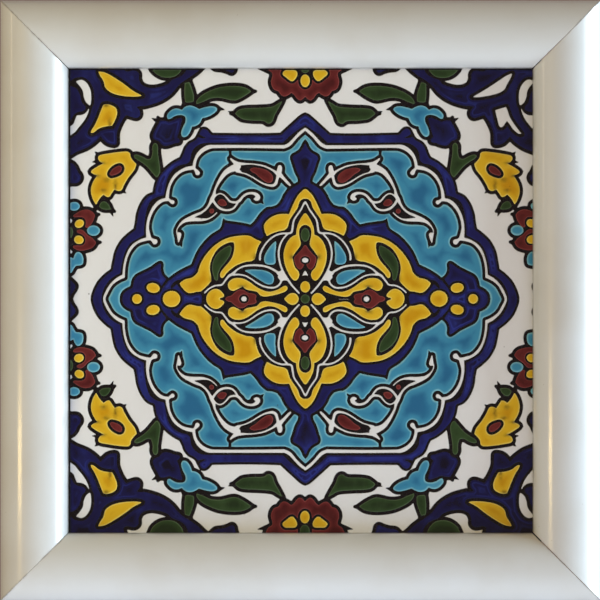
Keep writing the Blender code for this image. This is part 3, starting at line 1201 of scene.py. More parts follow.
FLOURISH = (
    "-39.35,17.6,.15 -39.2,18.8,.45 -39.15,20,.72",
    """-39.75,20.3,.2 -39.85,21.3,.15 -39.4,22.3,.17 -38.5,23.4,.33 -37.2,24.3,.5 -35,24.7,.6 -32,24.6,.42
 -30,24.9,.22 -28.6,25.7,.18 -27.4,26.8,.16""",
    """-37,24.6,.4 -35.2,25.5,.4 -33.6,26.2,.4 -32.2,26.8,.33 -30.7,28,.3 -29.6,29.6,.38 -28.9,31,.58
 -28.3,32.3,.5 -28,33.8,.32 -27.2,35.6,.38 -26,37.6,.55 -24.6,39.3,.75 -23.2,40.2,.9 -21.6,40.8,1.1
 -20.8,41.1,.85""",
    """-21.3,42,.6 -19,41.9,.33 -17,41.9,.2 -15,41.7,.2 -13,41.3,.24 -11.3,40.6,.25 -10,39.9,.3
 -8.7,38.9,.5""",
    """-21,39.9,.7 -19.8,39.2,.22 -18.2,38.7,.2 -16.4,37.8,.2 -14.5,36.6,.22 -12.8,35.7,.25
 -11.2,35.25,.32 -9.9,35.25,.42 -9.1,35.9,.45 -8.75,37,.4 -8.4,38.3,.5""",
    "-8.3,38.8,.8 -7.9,40.3,.75 -7.9,40.9,.65", "-7.9,38.6,.7 -6.7,37.4,.45 -5.6,36.2,.4 -4.7,35.3,.3",
    "-21.4,42,.7 -22.5,42.9,.38 -23.1,43.5,.25",
    """-28.6,31.3,.45 -27.6,32.2,.22 -26.4,32.7,.2 -25.2,32.2,.2 -24.2,31.2,.24 -23.4,30.3,.28
 -22.3,30,.33 -21.2,30.05,.35 -20.3,30.6,.4 -19.5,31.6,.35 -18.5,32.4,.35 -17.3,32.8,.35 -16,32.75,.42
 -15,32.2,.6 -14.65,31.5,.72 -15,31.1,.66 -15.7,31,.3""",
    """-28.7,30.8,.4 -27.9,29.5,.35 -26.6,28.2,.35 -25,27.6,.32 -23.5,27.6,.3 -22.3,28.1,.28 -21.5,29,.28
 -20.9,30,.3""",
)
SPANDREL_BLACK = (
    "-27.6,59.3,1 -25,58.7,.1", "-45.4,55,.9 -47.6,56.1,.1", "-63.7,44.4,.95 -65.3,45.7,.1",
    "-65.7,39.6,.9 -67.6,39.7,.1", "-64,42.7,.8 -66.1,42.5,.1", "-57.2,34,.9 -55.6,32.8,.1",
    "-60.6,28,.85 -59.6,25.6,.1", "-12,71,.9 -14.8,71.5,.1", "-21.5,57.5,.9 -23.9,58.2,.1",
)
FLOURISH_BLACK = (
    "-23.2,43.7,.45 -23.35,46.6,.45", "-24.5,30.1,1.4 -26.3,30.4,1.2", "-29.2,27.6,1 -31.2,25.9,.8",
    "-15.7,31.3,.8 -17.4,31.8,.6", "-14.2,30.8,.9 -12.9,29.5,.1", "-38.9,18,.9 -38.3,16.1,.1",
    "-17.6,40.1,.75 -20.3,39.85,.1",
)
RED_DROP = """-17.3,40.2! -16,40.75 -14.3,40.6 -12.6,40.2 -11.2,39.4 -10.2,38.3 -10,37.1 -10.6,36.2
 -11.8,36.1 -13,36.8 -14.3,37.8 -15.4,38.8 -16.5,39.4"""
RED_SEED = "-27.2,30 -26.4,30.9 -25.4,30.9 -24.6,30.1 -24.3,29.3 -24.9,28.9 -26,28.9 -26.9,29.4"
BAND_SEAMS = (
    "-42.2,7.2,.6 -43,5.6,.45 -44,4.3,.35 -44.8,2.9,.2", "-38.6,5.5,.5 -40.2,5,.55 -41.4,3.7,.4",
)
KNOB_SEAM = "-33.6,51.1,.55 -32.3,50.3,.38 -31,50,.12"
PALMETTE = """-55.5,70.6 -52.9,70.9 -51.7,70 -51.6,68.2 -50.9,66.6! -49.2,65.7 -47,65.5 -44.5,66
 -42.6,66.8 -41.4,68 -39.2,68.9 -37.6,70 -36.5,72 -35,77 -28,77 -32.4,71.5 -34.5,69.7 -37.1,68 -39.2,66.4
 -41.2,64 -43.3,62.3 -46.1,60.9 -50,59.8! -52.4,59.6! -51.4,58.4 -51.3,57 -52.2,56.2 -53.9,56.5
 -55.6,57.1! -57.1,54.9 -58.4,51.7 -58.5,49.2 -58.7,48 -60,47.9 -61.5,48.4 -62.6,49.4 -63.6,50.5! -65,48.9
 -67.5,47.1 -70.4,45.9 -77,43.6 -77,50.6 -73.3,51 -70.2,54 -68.2,56.6 -66.8,59.8! -66,61.5 -65.8,63.8
 -66.2,65.5 -67.3,67.4 -69,68.5 -70.5,68.8 -72,68.3 -73,67.6 -77,67 -77,77 -56.4,77 -56.4,71.4!"""
CORNER_HEART = """-77,66.8 -72.1,65.9 -70.7,64.9 -69.8,63 -69.3,61 -68.3,59.8 -68.2,59 -69.1,58.3 -70.5,58
 -71.8,57.2 -72.5,55.9 -73.5,54.6 -77,54.4"""
CORNER_PATCH = "-77,73! -66,62! -67,59! -77,49!"
BUD = """-45.1,55.3! -43.5,55.3 -42.3,54.9! -40.6,55.6 -38.9,56.2 -38.1,55.9! -38.6,54.1 -39.2,51.7
 -39.8,50.2! -39,49.4 -39.1,48.6 -40.5,48.3 -42.2,47.7 -43.7,47.5 -44.8,48.1! -45.6,49 -46.9,49.5
 -47.3,50.6 -46.8,52.1 -45.8,54"""
EDGE_BUD = "-77,43.3 -72.6,42.2 -71.3,41 -70.6,39.5 -69.7,38.1 -69.8,37 -70.6,36.1 -71.8,35.9 -77,36.5"
TOP_TRIANGLE = "-31,77 -28.5,71.9 -25.6,71.2 -24,70.7 -22.8,70.2 -22.1,70.7 -21.9,71.5 -21.2,77"
EDGE_HALF_LEAF = "-77,7.6 -73.4,6.2 -72,5 -71.3,4.1 -71.6,3 -72.4,1.8 -74,-1 -77,-1"
PALMETTE_INSETS = (
    """-64.2,70.6! -62,70.2 -59.4,68.8 -56.1,66.6 -53.3,64.5 -50.6,63.1! -52.3,62.8 -56.4,63 -59.7,63.8
 -61.9,65.4 -62.6,67.6 -63.7,69.4""",
    """-62.6,60.3! -61.3,60.4 -59.9,60 -58.6,59 -58.4,57.3 -59.1,55.3 -60,53.7! -62.1,53.5 -64,52.9
 -65.8,51.6 -66.6,51.6 -65.3,54 -64.2,56.4 -63.4,58.5""",
)
NOTCHED_INSETS = (
    """-64.3,69.9! -62.7,69.3 -61,68.2 -58.95,66.85 -56.55,65.3 -54.5,64.1 -52,62.65! -53.8,62.6
 -56.2,62.9 -58.6,63.4 -60.7,64.1 -62.05,65.1 -62.55,66.15 -63.3,67.5 -64.05,68.9""",
    """-59.05,58.6! -61,59.2 -62.5,59.6! -63,58.2 -63.6,56.5 -64.6,54.8 -65.8,53.1 -67.2,51.3!
 -66.35,51.35 -65.5,51.9 -64.45,52.9 -63.8,53.9 -62.7,55.3! -62.05,54.45 -61.35,53.5 -60.6,53.35
 -60.15,54.1 -59.8,55.5 -59.45,56.85""",
)
PALMETTE_WHITES = (
    """-71,67.2! -70.2,67.9 -69,67.9 -67.7,66.9 -66.7,65 -66.4,62.8 -66.55,60.6 -66.8,60! -68,61
 -68.7,62.6 -69,64.4 -69.7,65.7""",
    """-67,59.6! -67.4,57.7 -68.5,55.5 -70.4,53.1 -71.8,51.5 -77,49 -77,53.8 -73.3,53.5 -72,54.3
 -71.4,55.7 -70.9,57! -69.1,57.2 -67.8,58.1""",
)
YELLOW_FLOWER = """-64.3,44 -63.7,44.6 -61.3,45.1 -57.8,45.6 -55.1,45.7 -54.3,45.1! -54.1,43.9 -53.3,42.8
 -52.4,41.9! -53,40.1 -54.9,37.6 -56.3,35.2 -57,33.8 -58,33.5 -59.2,34! -60.1,32.7 -61,31.6 -62.6,32.4!
 -63.8,31.1 -64.9,29.2! -65.9,30.9 -66.5,33.4 -66.1,35.7 -64.6,38.3! -66,38.9 -66.5,39.5 -65.6,40.4
 -62.7,42.1! -63.9,42.8"""
FLOWER_EYE = """-60.7,38.8 -59.9,40.1 -58.7,41 -57.4,41.3 -56.9,40.5 -57.3,39.5 -58.3,38.8 -59.5,38.4
 -60.3,38.3"""
FLOWER_STALK = """-53.2,44.4 -52.5,44.8 -51,44.4 -49,43.4 -47.9,43.6! -47.4,45.5 -47.4,47.4 -46.6,48.4
 -45.8,47.7 -45.7,45.5 -45.3,42.5 -45,39.8 -45.5,38.3 -46.2,37.8 -47.1,38.7 -49.1,41 -51,42.5
 -52.6,43.5"""
LEAVES = (
    "-37.4,66.9! -35.9,67.3! -35.2,65.5 -34.6,63.4 -34.6,61.3! -37.2,61! -37.5,63.5",
    """-33.8,60.4! -33.6,61.7 -31.9,63.4 -29.2,64.8 -26.4,65.7 -22.3,66.1 -18.9,65.7 -16.7,64.4!
 -19.5,62.55 -22,61.6 -26.4,62.4 -29.3,62.2 -31.6,61.2""",
    """-21.8,57.5! -20.4,58.8 -18,59.2 -14.8,59.3 -10.2,59.7 -8.4,60.7 -7,61.5! -8.1,59.4 -9.4,57.1
 -10.3,54.9 -11.5,54.4 -12.9,55.2 -16.7,55.4 -19.5,55.8 -20.9,56.7""",
    "-48,77 -47.5,71.1! -46.2,69.8 -44.4,68.9 -42.3,68.7 -40.2,69.2 -38.4,70.9! -38,77",
    "-64,28.7! -63.2,30.1 -62.1,30.2 -61,29.3 -60.3,27.8! -61.5,27.7 -63,27.9",
    "-75,21 -73.6,22.6 -72.4,22 -72.1,20.7 -72.4,19.3 -73.6,18.6",
)
TURQUOISE_FLOWER = """-42.4,55.8 -42.9,56.8 -42.2,58 -41,58.9 -39.6,59.1 -38.3,58.6! -37.1,59.7 -35.5,60
 -34,59.5 -33,58.9! -31,59.5 -29,59.8 -27.6,59.4 -27.3,58.7 -28.6,57.4 -30.4,56.5 -32,56.1! -32.8,54.5
 -34,53.7 -35.1,53.5! -35.8,51.7 -36.9,50.4 -38,50.3 -38.5,51.4 -38,53.2 -37.2,54.9 -37.1,56! -37.5,56.8
 -39,57.1 -40.6,56.7"""
EDGE_PETAL = """-77,13.6 -72,12.5! -71.3,14.1 -70.5,14.6 -69.5,14.1 -68.9,12.9 -68.9,11.3 -69.3,10.6
 -71.2,10.3! -71.8,9.4 -72.8,8 -77,7.4"""
ROSETTE = """-13,77 -11.7,71.3 -10.2,70 -10.6,67.4 -10.2,65.7 -9.4,64.8 -8.4,64.5 -7.5,63.3 -6.5,62.85
 -5.4,63.2 -4.3,64! -3.4,63.3 -2.6,62.2 -1.6,61.6 -.7,62.1 0,62.8!"""
ROSETTE_BEAD = "-7,69.8 -6.3,70.9 -4.9,71 -3,70.9 -2.4,70 -2.8,68.7 -3.8,67.6 -4.6,67.7 -5.9,68.7"
EDGE_REDS = (
    """-72,25.6 -71,26.6 -69.3,27.5 -67.6,27.7 -66.1,27.1 -65.2,26! -65.7,24.4 -66.6,22.9 -67.5,22!
 -68.3,22.5 -68.1,24.2 -69,25.3 -70.5,25.4""",
    """-70.9,20.8 -70.2,21.5 -69,21.3 -67.5,19.8 -66,18.8 -64.9,17.5! -65.9,16 -67.6,15.3 -69.4,15
 -71.1,15.3 -72.1,16.3 -71,16.6 -69.2,16.6 -68.3,17.6 -68.4,19.1 -69.3,20""",
)
# Dots: the centre, the radius along X and, where they differ, the one along Z and the turn in degrees
BAND_DROPS = ((-47.2, 3.4, 2.05, 1.5, -10), (-41.5, 0, 2.7, 2.5), (-52.2, 0, 1.5))
RED_BERRY = (-29, 27.3, 0.75)
TOP_EYE = (0, 12, 1, 0.75)
SIDE_EYE = (-19, -0.1, 0.9)
YELLOW_BEAD = (0, 3.75, 1.5, 1.75)
GREEN_BEADS = ((0, 19.9, 1.35, 2.1), (0, 0, 1.4))
UPPER_BEAD = (-70.1, 23.35, 1.5, 1.25, 30)
LOWER_BEAD = (-70.25, 18.35, 1.5, 1.3, -15)
MIDDLE_BEAD = (0, 67.7, 1.45, 1.95)
TOP_CORE = (0, 72, 1.5, 1.9)
TURQUOISE_DOTS = ((-71.7, 28.75, 1.75, 1.35), (-65.7, 21.2, 2.0, 1.6))


@dataclass
class Drawing:
    """The painted pattern: a medallion with a cross flower in it, and flowers round it."""

    sheet: Sheet = field(default_factory=Sheet)
    line: float = 1.04
    thin_line: float = 0.75
    inset_line: float = 0.95
    field_line: float = 0.95
    flourish_line: float = 0.98
    red_line: float = 0.9
    white_band_line: float = 0.28
    inner_band_line: float = 0.85
    drop_line: float = 0.7
    top_eye_line: float = 0.55
    side_eye_line: float = 0.65
    upper_white_line: float = 0.9
    lower_white_line: float = 0.8
    flower_eye_line: float = 0.85
    bead_line: float = 0.6
    pointed: tuple[str, ...] = (
        PALMETTE, BUD, *LEAVES, FLOWER_STALK, YELLOW_FLOWER, TURQUOISE_FLOWER, *EDGE_REDS
    )
    cells: dict[Glaze, list[Area]] = field(default_factory=lambda: {glaze: [] for glaze in Glaze})
    insets: Area = field(init=False)
    notched: Area = field(init=False)
    medallion: Area = field(init=False)

    def draw(self) -> dict[Glaze, Area]:
        """Draw one quarter of it.

        Returns:
            The area of each glaze, the white ground with the white.
        """
        self.medallion = self.sheet.area(MEDALLION, Across.BOTH)
        self._spandrels()
        self._bands()
        self._cross_flower()
        return {glaze: join(*areas) for glaze, areas in self.cells.items()}

    def _bands(self) -> None:
        """The medallion's bands, its turquoise field and the flourish in it."""
        sheet = self.sheet
        cobalt_inside, white_outside, white_inside, inner, heart = (
            sheet.area(text, Across.BOTH)
            for text in (COBALT_INSIDE, WHITE_OUTSIDE, WHITE_INSIDE, INNER_BAND, HEART_OF_IT)
        )
        hooks, flourish = sheet.strokes(HOOKS), sheet.strokes(FLOURISH)
        reds = join(*sheet.areas(RED_DROP, RED_SEED), sheet.dot(*RED_BERRY))
        drops = join(*sheet.dots(*BAND_DROPS))
        turquoise = cut(
            white_inside + self.field_line, hooks - self.line, flourish - self.flourish_line,
            reds - self.red_line, inner, sheet.strokes(FLOURISH_BLACK),
        )
        outer_band = cut(
            self.medallion + self.thin_line, cobalt_inside + self.white_band_line, sheet.stroke(KNOB_SEAM)
        )
        inner_band = cut(
            inner + self.inner_band_line, heart - self.thin_line, drops - self.drop_line,
            sheet.strokes(BAND_SEAMS),
        )
        self.cells[Glaze.WHITE] += [cut(white_outside, white_inside), hooks, flourish]
        self.cells[Glaze.COBALT] += [outer_band, inner_band]
        self.cells[Glaze.TURQUOISE].append(turquoise)
        self.cells[Glaze.RED].append(reds)
        self.cells[Glaze.YELLOW].append(drops)

    def _cross_flower(self) -> None:
        """The yellow fields in the middle, with the cross of petals, buds and beads."""
        sheet = self.sheet
        top_eye, side_eye = sheet.dots(TOP_EYE, SIDE_EYE)
        arch, petal, chevron, top_bud = (
            sheet.area(text, Across.X) for text in (ARCH, PETAL, CHEVRON, TOP_BUD)
        )
        side_heart, side_bud = sheet.area(SIDE_HEART, Across.Z), sheet.area(SIDE_BUD, Across.Z)
        self.cells[Glaze.YELLOW] += [
            *sheet.areas(LOBE, STRIP, SIDE_BEAD), arch, petal, side_heart, sheet.dot(*YELLOW_BEAD)
        ]
        self.cells[Glaze.RED] += [
            cut(top_bud, top_eye - self.top_eye_line), cut(side_bud, side_eye - self.side_eye_line)
        ]
        self.cells[Glaze.GREEN] += [sheet.area(LOBE_LEAF), *sheet.dots(*GREEN_BEADS)]
        self.cells[Glaze.TURQUOISE] += sheet.areas(TEAL_UP, TEAL_SIDE)
        self.cells[Glaze.WHITE] += [top_eye, side_eye, chevron, sheet.area(KNOT)]
        self.cells[Glaze.WHITE].append(sheet.strokes(WHITE_LINES))

    def _spandrels(self) -> None:
        """The flowers round the medallion, on their white ground."""
        sheet = self.sheet
        self.insets = join(*sheet.areas(*PALMETTE_INSETS))
        self.notched = join(*sheet.areas(*NOTCHED_INSETS))
        upper_white, lower_white = sheet.areas(*PALMETTE_WHITES)
        palmette = cut(
            sheet.area(PALMETTE), upper_white - self.upper_white_line, lower_white - self.lower_white_line
        )
        eye, top_bead, upper_red, lower_red = sheet.areas(FLOWER_EYE, ROSETTE_BEAD, *EDGE_REDS)
        upper_bead, lower_bead, middle_bead, top_core = sheet.dots(
            UPPER_BEAD, LOWER_BEAD, MIDDLE_BEAD, TOP_CORE
        )
        rosette = cut(
            sheet.area(ROSETTE, Across.X), join(top_bead, middle_bead, top_core) - self.thin_line
        )
        tulip = cut(sheet.area(YELLOW_FLOWER), eye - self.flower_eye_line)
        figures = {
            Glaze.COBALT: [
                palmette, *sheet.areas(CORNER_HEART, BUD, EDGE_BUD, TOP_TRIANGLE, EDGE_HALF_LEAF)
            ],
            Glaze.YELLOW: [tulip, upper_bead, lower_bead, top_bead, middle_bead],
            Glaze.GREEN: [*sheet.areas(*LEAVES, FLOWER_STALK), top_core],
            Glaze.TURQUOISE: [*sheet.areas(TURQUOISE_FLOWER, EDGE_PETAL), *sheet.dots(*TURQUOISE_DOTS)],
            Glaze.RED: [rosette, eye, cut(upper_red, upper_bead - self.bead_line), lower_red],
        }
        everything = join(self.insets, *(area for areas in figures.values() for area in areas))
        tips = join(
            *(sheet.tips(text, self.line) for text in self.pointed), sheet.strokes(SPANDREL_BLACK)
        )
        ground = cut(
            np.full_like(everything, -sheet.reach), everything - self.line, tips, self.medallion,
            sheet.area(CORNER_PATCH),
        )
        for glaze, areas in figures.items():
            self.cells[glaze] += areas
        self.cells[Glaze.WHITE] += [ground, upper_white, lower_white]


def sampled(
    grid: np.ndarray, first: Span, step: float, x: np.ndarray, z: np.ndarray
) -> np.ndarray:
    """Values of a grid at places between its points, or at its border for places beyond it.

    Args:
        grid: The grid.
        first: Place of its first point.
        step: Distance between its points.
        x: The places' first coordinates.
        z: Their second ones.

    Returns:
        The values.
    """
    rows, columns = grid.shape
    u = np.clip((x - first[0]) / step, 0, columns - LAST_PLACE)
    v = np.clip((z - first[1]) / step, 0, rows - LAST_PLACE)
    i, j = v.astype(int), u.astype(int)
    p, q = u - j, v - i
    low = grid[i, j] * (1 - p) + grid[i, j + 1] * p
    high = grid[i + 1, j] * (1 - p) + grid[i + 1, j + 1] * p
    return low * (1 - q) + high * q


@dataclass
class Canvas:
    """The whole pattern on a grid over the tile's face, its quarters apart by a slip of the hand."""

    left: float = -72.9
    right: float = 73.0
    low: float = -75.0
    high: float = 71.1
    ground_high: float = 73.4
    # Fewest points of a loop round an island or a hole that stays, and of one that becomes a rim
    smallest: int = 24
    shortest: int = 10
    margin: float = 1.0
    step: float = 0.15
    slip: float = 0.12
    slip_ramp: float = 15.0
    # The slip's two slow waves: the turn in a mm and the phase along X, then those along Z
    sideways: tuple[float, float, float, float] = (0.11, 1.3, 0.09, 0.4)
    upwards: tuple[float, float, float, float] = (0.1, -0.7, 0.12, 2.1)
    x: np.ndarray = field(init=False)
    z: np.ndarray = field(init=False)

    def __post_init__(self) -> None:
        """Lay out the grid and where each of its points lies on the drawn quarter."""
        self.x = np.arange(self.left - self.margin, self.right + self.margin, self.step)
        self.z = np.arange(self.low - self.margin, self.ground_high + self.margin, self.step)
        x, z = np.meshgrid(self.x, self.z)
        slip = self.slip * np.clip(np.maximum(x, -z) / self.slip_ramp, 0, 1)
        turn, phase, turn_z, phase_z = self.sideways
        self._x = -np.abs(x + slip * (np.sin(x * turn + phase) * np.cos(z * turn_z + phase_z)))
        turn, phase, turn_z, phase_z = self.upwards
        self._z = np.abs(z + slip * (np.cos(x * turn + phase) * np.sin(z * turn_z + phase_z)))
        ends = np.maximum.reduce([x - self.right, self.left - x, self.low - z])
        self._rim = np.maximum(ends, z - self.high)
        self._ground_rim = np.maximum(ends, z - self.ground_high)
        self.upper_right = (x > 0) & (z > 0)

    def lay(self, area: Area, sheet: Sheet, is_ground: bool = False) -> Area:
        """A quarter's area over the whole face; the ground runs on under the frame's upper lip."""
        whole = sampled(area, (sheet.x[0], sheet.z[0]), sheet.step, self._x, self._z)
        return self.cleared(np.maximum(whole, self._ground_rim if is_ground else self._rim))

    def cleared(self, area: Area) -> Area:
        """An area without slivers and pinholes.

        Args:
            area: The area on the canvas.

        Returns:
            The area, with the sign turned in each small island or hole.
        """
        for loop in march(area, self.x, self.z):
            if len(loop) < self.smallest:
                j0, j1 = np.searchsorted(self.x, (loop[:, 0].min(), loop[:, 0].max()))
                i0, i1 = np.searchsorted(self.z, (loop[:, 1].min(), loop[:, 1].max()))
                part = area[i0:i1, j0:j1]
                part[within(loop, self.x[j0:j1], self.z[i0:i1])] *= -1
        return area

    def at(self, area: Area, points: np.ndarray) -> np.ndarray:
        """An area's values at points, which are rows of x and z."""
        return sampled(area, (self.x[0], self.z[0]), self.step, points[:, 0], points[:, 1])

    def rims(self, area: Area, level: float, spacing: float) -> list[np.ndarray]:
        """The closed curves where an area's distance is a level, each as evenly spaced points."""
        loops = march(area - level, self.x, self.z)
        return [spaced(loop, spacing) for loop in loops if len(loop) >= self.shortest]


# For each way that a grid cell's corners can lie inside, the sides that the rim enters and leaves by
SIDES = {
    1: ("BL",), 2: ("RB",), 3: ("RL",), 4: ("TR",), 5: ("BL", "TR"), 6: ("TB",), 7: ("TL",), 8: ("LT",),
    9: ("BT",), 10: ("RB", "LT"), 11: ("RT",), 12: ("LR",), 13: ("BR",), 14: ("LB",),
}


def march(values: np.ndarray, x: np.ndarray, z: np.ndarray) -> list[np.ndarray]:
    """Closed curves round the places where a grid is negative, with the inside on their left.

    Args:
        values: The grid, positive along its border.
        x: Places of its columns.
        z: Places of its rows.

    Returns:
        The curves' points.
    """
    inside = (values < 0).astype(np.uint8)
    case = inside[:-1, :-1] + 2 * inside[:-1, 1:] + 4 * inside[1:, 1:] + 8 * inside[1:, :-1]
    width = values.shape[1]
    following = {}
    for kind, ways in SIDES.items():
        i, j = np.nonzero(case == kind)
        side = {"B": (i * width + j) * 2, "T": ((i + 1) * width + j) * 2, "L": (i * width + j) * 2 + 1,
                "R": (i * width + j + 1) * 2 + 1}
        for start, end in ways:
            following.update(zip(side[start].tolist(), side[end].tolist()))
    curves = []
    while following:
        first, here = following.popitem()
        chain = [first]
        while here != first:
            chain.append(here)
            here = following.pop(here)
        edges = np.array(chain)
        i, j = np.divmod(edges // 2, width)
        upright = edges % 2
        here, there = values[i, j], values[i + upright, j + 1 - upright]
        share = here / (here - there)
        curves.append(np.stack([x[j] + share * (1 - upright) * (x[1] - x[0]),
                                z[i] + share * upright * (z[1] - z[0])], 1))
    return curves


# Fewest points that a curve is spaced out to
FEWEST_POINTS = 6


def spaced(loop: np.ndarray, spacing: float) -> np.ndarray:
    """Evenly spaced points along a closed curve.

    Args:
        loop: The curve.
        spacing: About the distance between the points.

    Returns:
        The points.
    """
    closed = np.concatenate([loop, loop[:1]])
    along = np.concatenate([[0], np.cumsum(np.hypot(*np.diff(closed, axis=0).T))])
    count = max(FEWEST_POINTS, round(along[-1] / spacing))
    at = np.linspace(0, along[-1], count, endpoint=False)
    return np.stack([np.interp(at, along, closed[:, k]) for k in (0, 1)], 1)


@dataclass
class GlazedTile:
    """The fired tile: its clay body with the black line on its face, and the glazes pooled within it."""

    middle_x: float = 1.44 * MM
    middle_z: float = 0.54 * MM
    edge_radius: float = 0.8 * MM
    pool_height: float = 0.11
    white_share: float = 0.45
    meniscus: float = 0.34
    hollow: float = 0.3
    hollow_width: float = 1.6
    rim_height: float = 0.004
    rim_spacing: float = 0.28
    inner_spacing: float = 0.8
    inner_margin: float = 0.35
    least_depth: float = 0.02
    rim_slack: float = 0.001
    # Points this near are one
    same_place: float = 1e-5
    # Points between the rim and the middle of a pool: each ring's depth in from the rim, and its spacing
    rings: tuple[Span, ...] = ((0.12, 0.3), (0.32, 0.4), (0.65, 0.55))
    # Cobalt outside the medallion: its stain's strength, the way it grows over, and its most
    thick_cobalt: float = 0.5
    thick_ramp: float = 2.0
    thick_most: float = 0.8
    # Ink in the yellow: each stain's place and its half widths along X and Z
    stains: tuple[tuple[float, float, float, float], ...] = (
        (-58.9, 35.2, 0.45, 1.7), (-62.6, 33.6, 0.9, 0.6), (-64.9, 38.2, 1.3, 0.45),
        (-63.1, 42.2, 1.3, 0.4), (-61.7, 37, 0.9, 0.6), (-61.8, 60, 0.9, 0.5), (-15.6, 12.8, 0.5, 1.2),
        (-29, 5.9, 0.6, 1.6), (-4.2, 13, 0.7, 0.8), (-19.6, 3.9, 1.2, 0.5), (-60.6, 54.5, 0.5, 1.5),
    )
    ink_strength: float = 0.75
    canvas: Canvas = field(default_factory=Canvas)

    def build(self) -> None:
        """Make the body and every glaze."""
        low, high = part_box("ceramic_tile")
        self.face = low.y
        self.body(low, high)
        drawing, canvas = Drawing(), self.canvas
        areas = drawing.draw()
        sheet = drawing.sheet
        laid = {glaze: canvas.lay(area, sheet, glaze is Glaze.WHITE) for glaze, area in areas.items()}
        notched = np.where(canvas.upper_right, canvas.lay(drawing.notched, sheet), sheet.reach)
        insets = np.where(canvas.upper_right, sheet.reach, canvas.lay(drawing.insets, sheet))
        with_insets = cut(laid[Glaze.COBALT], join(notched, insets) - drawing.inset_line)
        laid[Glaze.COBALT] = canvas.cleared(with_insets)
        laid[Glaze.WHITE] = join(laid[Glaze.WHITE], notched)
        laid[Glaze.YELLOW] = join(laid[Glaze.YELLOW], insets)
        self.medallion = canvas.lay(drawing.medallion, sheet)
        for glaze, area in laid.items():
            self.pool(glaze, area)

    def body(self, low: Vector, high: Vector) -> None:
        """The clay body.

        Args:
            low: The tile's lowest corner.
            high: Its highest corner.
        """
        draft = object_of(block(low, high), "tile_draft")
        arris(draft, self.edge_radius, 4)
        piece = settle(draft, "tile_body")
        piece.data.materials.append(Biscuit().material())
        piece.data.materials.append(PaintedLine().material())
        for face in piece.data.polygons:
            face.material_index = int(face.normal.y < -0.5)
        soften(piece)
        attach(piece, BODY)
        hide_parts("ceramic_tile")
        LOG.info("tile_body: %d faces", len(piece.data.polygons))

    def pool(self, glaze: Glaze, area: Area) -> None:
        """One glaze, as low pools over its cells.

        Args:
            glaze: The glaze.
            area: Its cells on the canvas.
        """
        rims = self.canvas.rims(area, 0.0, self.rim_spacing)
        points, edges = [], []
        for rim in rims:
            first = len(points)
            points += rim.tolist()
            edges += [(first + k, first + (k + 1) % len(rim)) for k in range(len(rim))]
        on_rim = len(points)
        for depth, spacing in self.rings:
            for ring in self.canvas.rims(area, -depth, spacing):
                points += ring.tolist()
        points += self._inner_points(area).tolist()
        flat = [Vector(point) for point in points]
        places, _, faces, *_ = delaunay_2d_cdt(flat, edges, [], 0, self.same_place, False)
        places, faces = np.array(places), np.array(faces)
        faces = faces[self.canvas.at(area, places[faces].mean(1)) < 0.0]
        used, faces = np.unique(faces, return_inverse=True)
        places = places[used]
        depth = self._depths(area, places, np.array(points[:on_rim]))
        self._dress(glaze, places, faces.reshape(-1, 3), depth)

    def _inner_points(self, area: Area) -> np.ndarray:
        """Points of a staggered grid well inside an area.

        Args:
            area: The area on the canvas.

        Returns:
            The points.
        """
        canvas = self.canvas
        rows = np.arange(canvas.low, canvas.high, self.inner_spacing * math.sqrt(3) / 2)
        columns = np.arange(canvas.left, canvas.right, self.inner_spacing)
        x, z = np.meshgrid(columns, rows)
        x[1::2] += self.inner_spacing / 2
        points = np.stack([x.ravel(), z.ravel()], 1)
        return points[canvas.at(area, points) < -self.rings[-1][0] - self.inner_margin]

    def _depths(self, area: Area, places: np.ndarray, rim: np.ndarray) -> np.ndarray:
        """How far each place is from the rim.

        Args:
            area: The area on the canvas.
            places: The places.
            rim: Points on the rim.

        Returns:
            The distances in millimetres.
        """
        tree = kdtree.KDTree(len(rim))
        for number, (x, z) in enumerate(rim.tolist()):
            tree.insert((x, z, 0.0), number)
        tree.balance()
        near = np.array([tree.find((x, z, 0.0))[2] for x, z in places.tolist()])
        drawn = -self.canvas.at(area, places)
        inside = np.maximum(np.maximum(drawn, near - self.rim_spacing / 5), self.least_depth)
        return np.where(near < self.rim_slack, 0.0, inside)

    def _dress(self, glaze: Glaze, places: np.ndarray, faces: np.ndarray, depth: np.ndarray) -> None:
        """Make the piece of one glaze.

        Args:
            glaze: The glaze.
            places: Its points on the drawing.
            faces: Their triangles.
            depth: Distance of each point from the rim.
        """
        rise = self.pool_height * (self.white_share if glaze is Glaze.WHITE else 1.0)
        dip = 1 - self.hollow * (1 - np.exp(-depth / self.hollow_width))
        height = rise * (1 - np.exp(-depth / self.meniscus)) * dip + self.rim_height
        corners = np.empty((len(places), 3))
        corners[:, 0] = places[:, 0] * MM + self.middle_x
        corners[:, 1] = self.face - height * MM
        corners[:, 2] = places[:, 1] * MM + self.middle_z
        finish = glaze.value
        mesh = bpy.data.meshes.new(finish.name)
        mesh.from_pydata(corners.tolist(), [], faces.tolist())
        if mesh.polygons[0].normal.y > 0:
            mesh.flip_normals()
        mesh.shade_smooth()
        keep_values(mesh, "rim_distance", depth)
        keep_values(mesh, "stain", self._stain(glaze, places))
        flat = mesh.uv_layers.new(name="OFBake")
        of_corner = np.empty(len(mesh.loops), np.int32)
        mesh.loops.foreach_get("vertex_index", of_corner)
        side = 2 * max(-self.canvas.low, self.canvas.right)
        flat.uv.foreach_set("vector", (places[of_corner] / side + 0.5).astype(np.float32).ravel())
        mesh.materials.append(finish.material())
        piece = new_object(finish.name, mesh)
        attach(piece, BODY)
        LOG.info("%s: %d triangles", finish.name, len(mesh.polygons))

